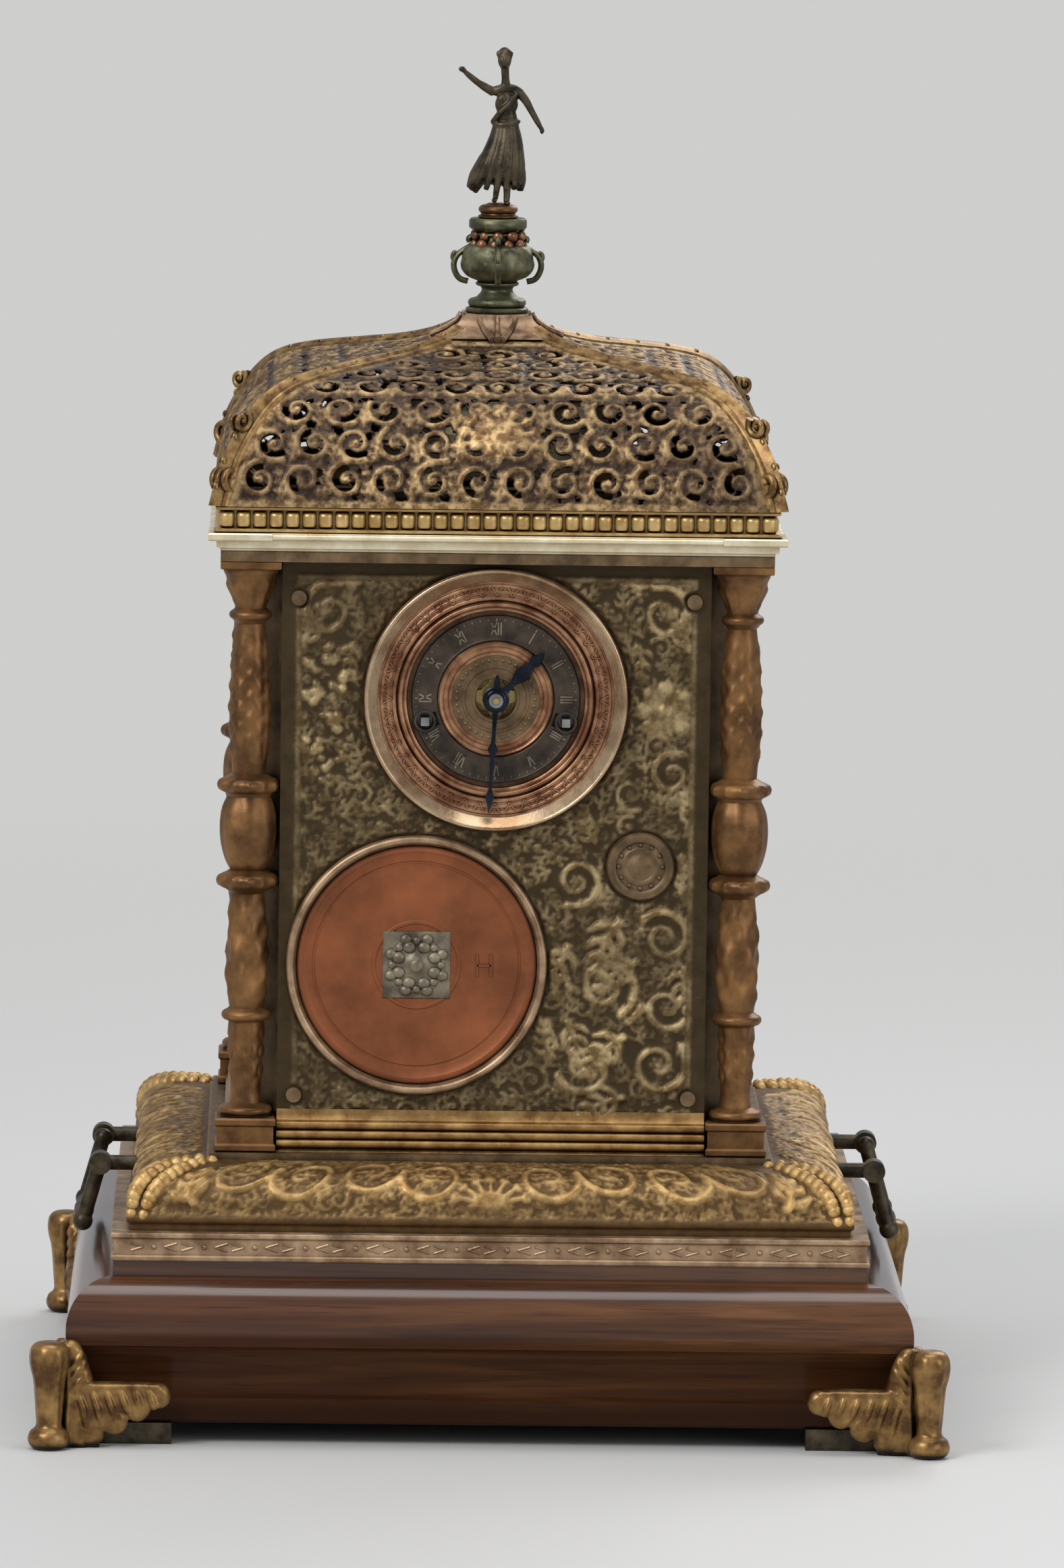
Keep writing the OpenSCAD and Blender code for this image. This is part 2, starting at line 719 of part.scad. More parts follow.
module cornice() {
    h = cornice_half - 1.2;
    z = cornice_z;
    b = band_z;
    points = concat([[h - 6, z], [h - 4.6, z + 1.2]], arc(h - 4.6, z + 3.4, 2.2, -60, 20, 4),
        [[h, z + 4.6], [h, b], [cornice_in, b], [cornice_in, z]]);
    w = cornice_half - cornice_in;
    color(gilt) mitred(points)
        for (x = [-cornice_half, cornice_half - w]) translate([x, -cornice_half, z + 4.4])
            cube([w, w, cornice_h - 4.4]);
}

// Dials and hands

module turned(points) {
    facing(0, face_y, dial_z) rotate_extrude($fn = 96) polygon(points);
}

module upper_dial_ring() {
    r = dial_r;
    c = chapter_r + 0.1;
    color(copper) turned(concat([[c, 0], [r, 0], [r, 4]], arc(r - 2, 5.4, 2, -20, 180, 8),
        [[r - 5, 4.2], [r - 6.4, 3.4], [r - 11, 3.2]], arc(r - 13, 3.2, 1.4, 0, 180, 6),
        [[c + 3, 3.0], [c + 2.4, 3.8], [c + 0.8, 3.8], [c, 3]]));
}

module chapter_ring() {
    color("dimgray") difference() {
        turned([[chapter_in_r, 0], [chapter_r, 0], [chapter_r, 2.2], [chapter_in_r, 2.2]]);
        for (s = [-1, 1]) rod([s * going_x, barrel_dz], winding_hole_r, -panel_at - 9, -panel_in);
    }
}

module dial_centre() {
    r = chapter_in_r - 0.1;
    color(copper) turned([[centre_hole_r, 0], [r, 0], [r, 2], [r - 1, 2.4], [r - 2, 2],
        [centre_hole_r + 2, 2], [centre_hole_r + 1.4, 2.6], [centre_hole_r, 2.6]]);
}

// A blade of a hand, pointing up: [half width, distance] pairs
module blade(points) {
    polygon(concat([for (p = points) [-p[0], p[1]]],
        [for (i = [len(points) - 1:-1:0]) [points[i][0], points[i][1]]]));
}
module eye(bore, r) {
    difference() {
        circle(r = r);
        circle(r = bore);
    }
}

module minute_hand() {
    l = minute_len;
    color("midnightblue") {
        layer([0, 0], minute_y, minute_y + hand_t) rotate(-183) blade([[1.1, -10], [0.8, -3.2]]);
        layer([0, 0], minute_y, minute_y + hand_t) rotate(-183)
            blade([[1.2, 3.2], [0.9, l * 0.3], [1.5, l * 0.42], [0.7, l * 0.5], [0.6, l * 0.8],
                [1.4, l * 0.86], [0.15, l]]);
        layer([0, 0], minute_y, minute_y + hand_t) eye(cannon_r + fix_fit, 4);
    }
}

module hour_hand() {
    l = hour_len;
    color("midnightblue") {
        layer([0, 0], hour_y, hour_y + hand_t) rotate(-45.25)
            blade([[1.6, 4.6], [1.5, l * 0.36], [3.4, l * 0.56], [1.6, l * 0.72], [2.6, l * 0.8],
                [0.2, l]]);
        layer([0, 0], hour_y, hour_y + hand_t) eye(hour_pipe_r + fix_fit, 5.4);
    }
}

module hand_nut() {
    color(steel) layer([0, 0], minute_y - 1.8, minute_y) difference() {
        circle(r = 2.8);
        circle(r = tip_r + fix_fit);
    }
}
tip_r = 1.2;

module lower_turned(points) {
    facing(disc_x, face_y, disc_z) rotate_extrude($fn = 96) polygon(points);
}
disc_in_r = disc_r - 4.6;

module lower_dial_rim() {
    r = disc_r;
    color(old_brass) lower_turned(concat([[disc_in_r, 0], [r, 0], [r, 2.6]],
        arc(r - 1.8, 3.6, 1.6, -10, 170, 6), [[disc_in_r, 2.2]]));
}

module calendar_disc() {
    r = disc_in_r - seat;
    bore = stud_r + 1 + fix_fit;
    color(copper) lower_turned([[bore, seat], [r, seat], [r, 1.8], [r - 1.2, 2.2], [r - 2.4, 1.8],
        [boss_r + 4, 1.8], [boss_r + 3.2, 2.2], [boss_r + 2, 1.8], [bore, 1.8]]);
}

module calendar_boss() {
    r = boss_r;
    color("darkgray") facing(disc_x, face_y, disc_z) {
        rotate_extrude() polygon(concat([[0, 1.8], [r, 1.8], [r, 2.8]],
            [for (i = [0:6]) [r * 0.9 - r * 0.5 * i / 6, 3 + 2 * sin(15 * i)]],
            arc(0, 5, r * 0.3, 10, 90, 4)));
        for (a = [0:45:315]) rotate(a) translate([r * 0.68, 0, 1.8])
            cylinder(r = r * 0.26, h = 2.4);
        translate([0, 0, -panel_t - 1]) cylinder(r = stud_r + 1, h = panel_t + 3);
        translate([0, 0, -panel_t - 2.4]) cylinder(r = stud_r + 3, h = 2.4 - seat);
    }
}

// Top

// Band of upright lobes between two fillets
module gadroon_band() {
    h = cornice_half - 2.4;
    z = band_z;
    lobes = 30;
    step = 2 * (h - 2) / lobes;
    inner = h - 11.6;
    points = [[h - 1, z], [h - 1, z + 1.4], [h - 3.6, z + 1.9], [h - 3.6, dome_z - 1.6],
        [h - 1.4, dome_z - 1.2], [h - 1.4, dome_z], [inner, dome_z], [inner, z]];
    color(old_brass) mitred(points)
        for (i = [0:lobes - 1])
            translate([-h + 2 + (i + 0.5) * step, -h + 3.6, z + 1.7])
                linear_extrude(band_h - 3.1) polygon(concat(arc(0, 0, step * 0.46, 180, 360, 6),
                    [[step * 0.46, 1], [-step * 0.46, 1]]));
}

// Half width of the dome over the height above the band
dome_curve = [[0, 112.5], [8, 110.5], [18, 107.5], [28, 102.5], [36, 97], [42, 91], [46, 84],
    [49, 74], [51, 64], [53, 52], [55.5, 38], [58.5, 27], [62, 19], [65.5, 14.5], [69, 12.6]];
function dome_points(inset) =
    let (k = dome_h / 69)
    [for (i = [0:len(dome_curve) - 1])
        let (a = dome_curve[max(0, i - 1)], b = dome_curve[min(len(dome_curve) - 1, i + 1)],
            t = (b - a) / norm(b - a), p = dome_curve[i] + inset * [-t[1], t[0]])
        [p[1] * cornice_half / 114, dome_z + max(0, p[0] * k)]];

// The square vault filled down to the band: two crossed prisms of the same curve
module vault(inset, half) {
    pts = [for (p = dome_points(inset)) if (p[0] > half) p];
    outline = concat(pts, [for (i = [len(pts) - 1:-1:0]) [-pts[i][0], pts[i][1]]]);
    intersection() {
        rotate([90, 0, 0]) linear_extrude(4 * cornice_half, center = true) polygon(outline);
        rotate([90, 0, 90]) linear_extrude(4 * cornice_half, center = true) polygon(outline);
    }
}

rib_w = 9;
neck_half_w = 21;
// One pierced dome panel: the wall between two ribs
module dome_panel() {
    g = rib_w / 2 / cos(45) + mitre_gap;
    difference() {
        intersection() {
            vault(0, neck_half_w);
            translate([0, -g, 0]) linear_extrude(2 * roof_z)
                polygon([[0, 0], [200, -200], [-200, -200]]);
        }
        vault(-dome_wall, 0);
        block_of(neck_half_w, dome_z, crown_z);
        pierced();
    }
}
// Rows of piercings in one panel: [height above the band, how many, spacing, radius]
pierced_rows = [[8, 9, 20, 6], [19, 8, 20, 5.4], [29.5, 7, 20, 5], [39, 6, 19, 4]];
module pierced() {
    for (row = pierced_rows, i = [0:row[1] - 1])
        translate([(i - (row[1] - 1) / 2) * row[2], 0, dome_z + row[0]]) rotate([90, 0, 0])
            cylinder(r = row[3], h = 2 * cornice_half);
    for (x = [-32, 0, 32]) translate([x, -66, dome_z]) cylinder(r = 6, h = dome_h);
    for (x = [-14, 14]) translate([x, -45, dome_z]) cylinder(r = 5, h = dome_h);
}

module dome_panels() {
    color(old_brass) for (a = [0:90:270]) rotate(a) dome_panel();
}

// Corner ribs with leaf volutes and crockets, joined by the crown under the vase
module dome_ribs() {
    stand = 1.4;
    color(gilt) {
        difference() {
            union() {
                intersection() {
                    vault(stand, 0);
                    for (a = [45, 135]) rotate(a)
                        block(-2 * cornice_half, 2 * cornice_half, -rib_w / 2, rib_w / 2,
                            dome_z, crown_z);
                }
                intersection() {
                    vault(stand, 0);
                    block_of(neck_half_w - mitre_gap, dome_z + dome_h * 0.6, crown_z);
                }
            }
            vault(-dome_wall, 0);
            translate([0, 0, crown_z - 8]) cylinder(r = urn_pin_r + fix_fit, h = 9);
        }
        for (a = [45:90:315]) rotate(a) {
            translate([cornice_half * 1.33, 0, dome_z + 11]) rotate([90, 0, 0])
                translate([0, 0, -rib_w / 2]) rotate(-60) spiral(9, 1.3, 3, rib_w);
            translate([cornice_half * 1.27, 0, dome_z + 33]) rotate([90, 0, 0])
                translate([0, 0, -2]) rotate(-40) spiral(5.5, 1.2, 2.4, 4);
        }
    }
}
urn_pin_r = 2.5;

module finial_urn() {
    z = crown_z;
    h = urn_h;
    color("darkseagreen") {
        translate([0, 0, z - 7]) cylinder(r = urn_pin_r, h = 9);
        translate([0, 0, z]) rotate_extrude() polygon(concat([[0, 0], [12.3, 0], [12.3, 2.2]],
            arc(9.5, 4, 2, -60, 80, 4), [[7, 7.5], [6.4, 9.5], [8.4, 11]],
            [for (i = [0:6]) [9 + 5.4 * sin(25 * i), 12 + (h - 24) * i / 6]],
            [[9, h - 10], [8.2, h - 7], [9.4, h - 5], [11, h - 3.4], [11, h], [0, h]]));
        for (a = [0:90:270]) rotate(a) translate([14.4, 0, z + h * 0.46]) rotate([90, 0, 0])
            translate([0, 0, -1.6]) rotate(90) spiral(4.2, 1.2, 1.8, 3.2);
    }
}

// A draped figure on a knob: [x, y, half x, half y, height above the knob's foot]
module ellipse_at(p) {
    translate([p[0], p[1], p[4]]) scale([p[2], p[3], 1]) cylinder(r = 1, h = 0.8, $fn = 20);
}
skirt_at = [[2.4, 0, 3.6, 3.2, 4.6], [1.6, 0.3, 7.4, 5.6, 9], [-0.8, 0.5, 11, 7, 13],
    [1.4, 0.2, 9, 6, 23], [2.6, 0, 5.4, 4.2, 36.5]];
torso_at = [[2.6, 0, 5.4, 4.2, 36.5], [2.8, 0, 5.6, 4.1, 44], [2.8, 0, 6.4, 3.5, 51],
    [2.2, 0, 2.2, 2, 55]];
// Height of the figure as its places are written here
figure_top = 69;
head_half = [3.5, 3.8, 4.6];
module limb(a, b, ra, rb) {
    hull() {
        translate(a) sphere(r = ra, $fn = 14);
        translate(b) sphere(r = rb, $fn = 14);
    }
}
module finial_figure() {
    color(bronze) translate([0, 0, knob_z]) scale(figure_h / figure_top) {
        rotate_extrude() polygon(concat([[0, 0], [8, 0], [8, 1]], arc(5, 3, 3, -30, 70, 5),
            [[4, 6], [0, 6]]));
        for (i = [0:len(skirt_at) - 2]) hull() {
            ellipse_at(skirt_at[i]);
            ellipse_at(skirt_at[i + 1]);
        }
        for (i = [0:len(torso_at) - 2]) hull() {
            ellipse_at(torso_at[i]);
            ellipse_at(torso_at[i + 1]);
        }
        limb([2.2, 0, 54], [2, -0.4, 60], 1.9, 2);
        translate([1.8, -0.5, figure_top - head_half[2]]) scale(head_half) sphere(r = 1, $fn = 20);
        limb([-2.6, 0, 50.4], [-9, -1, 54.4], 2, 1.6);
        limb([-9, -1, 54.4], [-15, -2, 59.4], 1.6, 1.3);
        limb([7.8, 0, 50.6], [12.6, -1, 43.4], 2, 1.7);
        limb([12.6, -1, 43.4], [17, -3, 35.4], 1.6, 1.3);
        limb([-1, 2, 30], [-12, 3, 12.4], 3.4, 1.6);
    }
}

// Bell and its standard

bell_low = roof_z + 29;
module bell() {
    r = bell_r;
    h = bell_h;
    w = 2.6;
    outer = [for (i = [0:10]) [r * (0.36 + 0.64 * pow(cos(9 * i), 0.55)), h * sin(9 * i)]];
    color("tan") translate([0, 0, bell_low]) difference() {
        rotate_extrude($fn = 96) polygon(concat([[r - w, 0], [r, 0]], outer,
            [[stud_r + fix_fit, h], [stud_r + fix_fit, h - w]],
            [for (i = [10:-1:0]) [max(stud_r + fix_fit, outer[i][0] - w), outer[i][1] - w * i / 10]]));
    }
}

module bell_standard() {
    top = bell_low + bell_h;
    color(steel) {
        translate([0, 0, cornice_z]) rotate_extrude() polygon([[0, 0], [11, 0], [11, 2.4], [6, 4],
            [4.4, 8], [4, 12], [4, top - cornice_z - 9], [6.5, top - cornice_z - 5],
            [6.5, top - cornice_z - 2.6], [0, top - cornice_z - 2.6]]);
        translate([0, 0, roof_z]) cylinder(r = stud_r, h = roof_t + 1);
        translate([0, 0, top - 5]) cylinder(r = stud_r, h = 8);
        translate([0, 0, top]) cylinder(r = 5, h = 3, $fn = 6);
    }
}

// Movement

module plate(y0) {
    difference() {
        block(-plate_half, plate_half, y0, y0 + plate_t, dial_z + plate_low, dial_z + plate_high);
        for (at = [third_at, escape_at, fourth_at, pin_wheel_at, fly_at])
            rod(at, pivot_r + run_fit, y0 - 1, y0 + plate_t + 1);
        for (s = [-1, 1]) {
            rod([s * going_x, barrel_dz], barrel_arbor_r + run_fit, y0 - 1, y0 + plate_t + 1);
            for (dz = pillar_dz) rod([s * pillar_x, dz], 2 + fix_fit, y0 - 1, y0 + plate_t + 1);
        }
        rod([0, 0], arbor_r + run_fit, y0 - 1, y0 + plate_t + 1);
        rod(anchor_at, arbor_r + run_fit, y0 - 1, y0 + plate_t + 1);
        rod(hammer_at, arbor_r + run_fit, y0 - 1, y0 + plate_t + 1);
    }
}

click_at = [9.5, 6];
module movement_front_plate() {
    color("khaki") {
        plate(front_y);
        rod(minute_at, pivot_r, front_y - 7, front_y + 0.5);
        for (s = [-1, 1]) rod([s * (going_x + click_at[0]), barrel_dz + click_at[1]], pivot_r,
            front_y - 4, front_y + 0.5);
    }
}

cock_y = back_y + plate_t;
module movement_back_plate() {
    z = dial_z + anchor_at[1];
    top = dial_z + plate_high;
    color("khaki") {
        plate(back_y);
        block(-4, 4, cock_y - 0.5, cock_y + 12.5, top - 3, top);
        block(-4, 4, cock_y + 10, cock_y + 12.5, z - 4, top);
        rod(anchor_at, pivot_r, cock_y + 5.2, cock_y + 10.5);
    }
}

module movement_pillars() {
    color("khaki") for (s = [-1, 1], dz = pillar_dz) translate([s * pillar_x, inner_front, dial_z + dz])
        rotate([-90, 0, 0]) {
            g = plate_gap;
            rotate_extrude() polygon([[0, 0], [4, 0], [4, 2], [3, 4], [3, g * 0.4], [3.8, g * 0.5],
                [3, g * 0.6], [3, g - 4], [4, g - 2], [4, g], [0, g]]);
            translate([0, 0, -plate_t]) cylinder(r = 2, h = g + 2 * plate_t + 2);
        }
}

// A spring barrel: great wheel, drum and caps, open inside for the spring
module barrel(s, wheel_y, turn) {
    at = [s * going_x, barrel_dz];
    bore = barrel_arbor_r + run_fit;
    w = 1.2;
    ends = wheel_y < drum_y ? [wheel_y, drum_y + w] : [drum_y + drum_len - w, wheel_y + great_t];
    layer(at, wheel_y, wheel_y + great_t) difference() {
        rotate(turn) polygon(gear_points(84, barrel_mod));
        circle(r = bore);
    }
    facing(at[0], drum_y + drum_len, dial_z + at[1]) rotate_extrude()
        polygon([[bore, 0], [drum_r, 0], [drum_r, drum_len], [bore, drum_len],
            [bore, drum_len - w], [drum_r - w, drum_len - w], [drum_r - w, w], [bore, w]]);
    // The great wheel's hub reaches the drum's cap
    layer(at, ends[0], ends[1]) difference() {
        circle(r = bore + 1.6);
        circle(r = bore);
    }
}
module going_barrel() {
    color(old_brass) barrel(1, great_y, bearing([going_x, barrel_dz], [0, 0]));
}
module strike_barrel() {
    color(old_brass) barrel(-1, strike_great_y, bearing([-going_x, barrel_dz], pin_wheel_at));
}

// The coiled mainspring against the drum's wall
module mainspring(s) {
    turns = 6;
    n = turns * 20;
    r0 = drum_r - 1.4;
    step = (drum_r - 10) / turns;
    outer = [for (i = [0:n]) (r0 - step * i / 20) * [cos(18 * i), sin(18 * i)]];
    inner = [for (i = [n:-1:0]) (r0 - 0.7 - step * i / 20) * [cos(18 * i), sin(18 * i)]];
    layer([s * going_x, barrel_dz], drum_y + 2, drum_y + drum_len - 2)
        polygon(concat(outer, inner));
}
module going_mainspring() {
    color(steel) mainspring(1);
}
module strike_mainspring() {
    color(steel) mainspring(-1);
}

// Winding arbor: square end, ratchet in front of the plate, pivots in both plates
ratchet_r = 7;
module winding_arbor(s) {
    at = [s * going_x, barrel_dz];
    q = square_w / 2;
    n = 16;
    rod(at, barrel_arbor_r, front_y - 7, back_y + plate_t);
    layer(at, face_y - 4.5, front_y - 6) square(square_w, center = true);
    layer(at, front_y - 3.5, front_y - 1.5)
        polygon([for (i = [0:n - 1]) each [ratchet_r * [cos(360 / n * i), sin(360 / n * i)],
            ratchet_r * 0.84 * [cos(360 / n * (i + s * 0.1)), sin(360 / n * (i + s * 0.1))]]]);
    rod(at, barrel_arbor_r + 1.2, drum_y + 1.4, drum_y + drum_len - 1.4);
}
module going_arbor() {
    color(steel) winding_arbor(1);
}
module strike_arbor() {
    color(steel) winding_arbor(-1);
}

// A click on its stud, its beak just clear of the ratchet
module click(s) {
    at = [s * (going_x + click_at[0]), barrel_dz + click_at[1]];
    a = bearing([0, 0], [s * click_at[0], click_at[1]]);
    beak = norm(click_at) - ratchet_r - seat;
    layer(at, front_y - 3.4, front_y - 1.6) difference() {
        union() {
            circle(r = 2.4);
            rotate(a + 180) polygon([[0, 2.2], [0, -2.2], [beak, -0.6], [beak, 0.6]]);
            rotate(a + s * 70) polygon([[0, 1.4], [0, -1.4], [7, -0.8], [7, 0.8]]);
        }
        circle(r = pivot_r + run_fit);
    }
}
module going_click() {
    color(steel) click(1);
}
module strike_click() {
    color(steel) click(-1);
}

// An arbor with thinner pivots in both plates
module arbor(at) {
    rod(at, arbor_r, inner_front + seat, back_y - seat);
    rod(at, pivot_r, front_y, back_y + plate_t);
}

module centre_wheel() {
    color(old_brass) {
        rod([0, 0], arbor_r, minute_y + hand_t, back_y + plate_t);
        rod([0, 0], tip_r, minute_y - 2.4, minute_y + hand_t + 1);
        rod([0, 0], cannon_r, minute_y, front_y - 1);
        layer([0, 0], front_y - 2.5, front_y - 1)
            pinion(12, 0.6, bearing([0, 0], minute_at));
        layer([0, 0], great_y, great_y + great_t)
            pinion(12, barrel_mod, driven([going_x, barrel_dz], [0, 0], 12));
        layer([0, 0], centre_y, centre_y + wheel_t) wheel(72, 0.5, bearing([0, 0], third_at), 4);
    }
}
module third_wheel() {
    color(old_brass) {
        arbor(third_at);
        layer(third_at, centre_y, centre_y + wheel_t) pinion(12, 0.5, driven([0, 0], third_at, 12));
        layer(third_at, third_y, third_y + wheel_t)
            wheel(60, 0.5, bearing(third_at, fourth_at), 3);
    }
}
module fourth_wheel() {
    color(old_brass) {
        arbor(fourth_at);
        layer(fourth_at, third_y, third_y + wheel_t)
            pinion(12, 0.5, driven(third_at, fourth_at, 12));
        layer(fourth_at, fourth_y, fourth_y + wheel_t)
            wheel(60, 0.45, bearing(fourth_at, escape_at), 3);
    }
}

escape_r = 10.5;
module escape_wheel() {
    n = 30;
    color(old_brass) {
        arbor(escape_at);
        layer(escape_at, fourth_y, fourth_y + wheel_t)
            pinion(12, 0.45, driven(fourth_at, escape_at, 12));
        layer(escape_at, escape_y, escape_y + wheel_t)
            polygon([for (i = [0:n - 1]) each [escape_r * [cos(12 * i), sin(12 * i)],
                (escape_r - 2.2) * [cos(12 * i + 2.4), sin(12 * i + 2.4)],
                (escape_r - 2.2) * [cos(12 * i + 8), sin(12 * i + 8)]]]);
    }
}

// Anchor with its arbor and the crutch behind the back plate
crutch_len = 32;
module anchor() {
    e = escape_at - anchor_at;
    reach = escape_r + 1.1;
    tip = [for (s = [-1, 1]) [s * reach * sin(48), e[1] + reach * cos(48)]];
    color(steel) {
        rod(anchor_at, pivot_r, front_y, inner_front + 1);
        rod(anchor_at, arbor_r, inner_front + seat, cock_y + 4.4);
        layer(anchor_at, escape_y, escape_y + wheel_t) union() {
            circle(r = 2.6);
            for (k = [0, 1]) let (t = tip[k], s = 2 * k - 1)
                polygon([[0, 2.4], [t[0] + s * 1.2, t[1] + 2], [t[0] + s * 1.4, t[1] - 0.6], t,
                    [t[0] - s * 0.4, t[1] + 1.6], [0, -1]]);
        }
        layer(anchor_at, cock_y + 1.4, cock_y + 3.2) union() {
            circle(r = 2.6);
            translate([-0.8, -crutch_len - 1]) square([1.6, crutch_len]);
        }
        rod(anchor_at - [0, crutch_len], 0.8, cock_y + 2, cock_y + 9.6);
    }
}

// Pendulum on the cock's stud: eye, rod, fork for the crutch, bob and rating nut
rod_y = cock_y + 7.2;
module pendulum() {
    z = dial_z + anchor_at[1];
    color(old_brass) {
        layer(anchor_at, rod_y - 1.4, rod_y + 1.4) difference() {
            circle(r = 2.6);
            circle(r = pivot_r + run_fit);
        }
        difference() {
            union() {
                translate([0, rod_y, z - pendulum_len - bob_r - 9])
                    cylinder(r = 1.25, h = pendulum_len + bob_r + 7);
                block(-3, 3, rod_y - 1.4, rod_y + 1.4, z - crutch_len - 4, z - crutch_len + 4);
            }
            block(-1.1, 1.1, rod_y - 3, rod_y + 3, z - crutch_len - 2.6, z - crutch_len + 2.6);
        }
        translate([0, rod_y, z - pendulum_len]) rotate([90, 0, 0]) rotate_extrude()
            polygon([[0, -5], [4, -5], [bob_r * 0.7, -3.4], [bob_r, -0.6], [bob_r, 0.6],
                [bob_r * 0.7, 3.4], [4, 5], [0, 5]]);
        translate([0, rod_y, z - pendulum_len - bob_r - 4]) cylinder(r = 3.4, h = 3);
    }
}

module minute_wheel() {
    bore = pivot_r + run_fit;
    color(old_brass) {
        layer(minute_at, front_y - 2.5, front_y - 1) difference() {
            wheel(36, 0.6, driven([0, 0], minute_at, 36), 4);
            circle(r = bore);
        }
        layer(minute_at, front_y - 6, front_y - 2.4) difference() {
            pinion(10, 0.576, bearing(minute_at, [0, 0]));
            circle(r = bore);
        }
    }
}
module hour_wheel() {
    bore = cannon_r + run_fit + 0.01;
    color(old_brass) {
        layer([0, 0], front_y - 5.5, front_y - 4) difference() {
            wheel(40, 0.576, driven(minute_at, [0, 0], 40), 5);
            circle(r = bore);
        }
        layer([0, 0], hour_y, front_y - 4) difference() {
            circle(r = hour_pipe_r);
            circle(r = bore);
        }
    }
}

pin_ring_r = 12.5;
module pin_wheel() {
    color(old_brass) {
        arbor(pin_wheel_at);
        layer(pin_wheel_at, strike_great_y, strike_great_y + great_t)
            pinion(12, barrel_mod, driven([-going_x, barrel_dz], pin_wheel_at, 12));
        layer(pin_wheel_at, pin_y, pin_y + wheel_t)
            wheel(60, 0.5, bearing(pin_wheel_at, fly_at), 3, 2.4);
        for (a = [0:45:315]) rod(pin_wheel_at + pin_ring_r * [cos(a), sin(a)], 0.7,
            pin_y - 3, pin_y + 0.5);
    }
}

module fly() {
    color(old_brass) {
        arbor(fly_at);
        layer(fly_at, pin_y, pin_y + wheel_t) pinion(12, 0.5, driven(pin_wheel_at, fly_at, 12));
        layer(fly_at, inner_front + 10, inner_front + 24) square([22, 0.9], center = true);
        rod(fly_at, 2.4, inner_front + 9, inner_front + 25);
    }
}

module bell_hammer() {
    x = hammer_at[0];
    z = dial_z + hammer_at[1];
    strike_z = bell_low + 5;
    tail = norm(hammer_at - pin_wheel_at) - pin_ring_r - 1.2;
    color(steel) {
        rod(hammer_at, arbor_r, front_y, hammer_y + 1.2);
        layer(hammer_at, pin_y - 2.6, pin_y - 0.8) union() {
            circle(r = 3);
            rotate(bearing(hammer_at, pin_wheel_at))
                polygon([[0, 1.8], [0, -1.8], [tail, -0.8], [tail, 0.8]]);
        }
        rod(hammer_at, 3, hammer_y - 1.8, hammer_y + 1.8);
        translate([x, hammer_y, z]) cylinder(r = 1.2, h = strike_z - z);
        translate([x, hammer_y, strike_z]) sphere(r = 1.8);
        translate([x, 1, strike_z]) rotate([90, 0, 0]) cylinder(r = 1.2, h = 1 - hammer_y);
        translate([bell_r + 1, 0, strike_z]) rotate([0, 90, 0]) cylinder(r = 4.5, h = 11);
    }
}

plinth_rails();
plinth_block();
corner_feet();
foot_screws();
brass_fillet();
base_skirt();
handle_posts();
left_handle();
right_handle();
case_floor();
corner_posts();
case_screws();
foot_moulding();
corner_columns();
front_plate();
side_panels();
back_frame();
back_door();
door_knob();
case_roof();
cornice();
upper_dial_ring();
chapter_ring();
dial_centre();
minute_hand();
hour_hand();
hand_nut();
lower_dial_rim();
calendar_disc();
calendar_boss();
medallion();
gadroon_band();
dome_panels();
dome_ribs();
finial_urn();
finial_figure();
bell();
bell_standard();
movement_front_plate();
movement_back_plate();
movement_pillars();
going_barrel();
going_mainspring();
going_arbor();
going_click();
strike_barrel();
strike_mainspring();
strike_arbor();
strike_click();
centre_wheel();
third_wheel();
fourth_wheel();
escape_wheel();
anchor();
pendulum();
minute_wheel();
hour_wheel();
pin_wheel();
fly();
bell_hammer();
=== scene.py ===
"""Looks of the table clock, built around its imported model. Lengths are in millimetres here."""

import math

import bpy
import numpy as np
from mathutils import Matrix, Vector


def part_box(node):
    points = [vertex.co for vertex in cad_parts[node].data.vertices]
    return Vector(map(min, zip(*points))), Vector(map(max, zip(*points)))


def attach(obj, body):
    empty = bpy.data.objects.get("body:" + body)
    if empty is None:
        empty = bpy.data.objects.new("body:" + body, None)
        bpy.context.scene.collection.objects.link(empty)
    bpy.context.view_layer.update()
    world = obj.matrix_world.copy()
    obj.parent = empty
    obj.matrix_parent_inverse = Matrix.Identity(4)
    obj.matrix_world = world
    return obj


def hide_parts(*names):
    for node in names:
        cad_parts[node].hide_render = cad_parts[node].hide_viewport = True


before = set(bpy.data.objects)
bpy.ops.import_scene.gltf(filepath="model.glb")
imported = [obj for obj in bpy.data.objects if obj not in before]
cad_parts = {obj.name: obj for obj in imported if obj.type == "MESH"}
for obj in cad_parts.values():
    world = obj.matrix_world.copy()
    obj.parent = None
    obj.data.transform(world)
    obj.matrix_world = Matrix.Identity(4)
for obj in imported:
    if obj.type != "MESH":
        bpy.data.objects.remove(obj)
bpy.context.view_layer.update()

MM = 0.001
TAU = 2 * math.pi


def cosd(angle):
    return math.cos(math.radians(angle))


def sind(angle):
    return math.sin(math.radians(angle))


def node_box(name):
    """Lowest and highest corner of a CAD node in millimetres."""
    low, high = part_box(name)
    return np.array(low) / MM, np.array(high) / MM


# Camera

IMAGE_W, IMAGE_H = 1577, 2324
CAMERA_AWAY = 5000
CAMERA_UP = 820
AIM_UP = 280
FOCAL_PX = 18524
CENTRE_PX = (729, 1029)
YAW = math.radians(0.9)
ROLL = math.radians(0.75)
SENSOR = 36


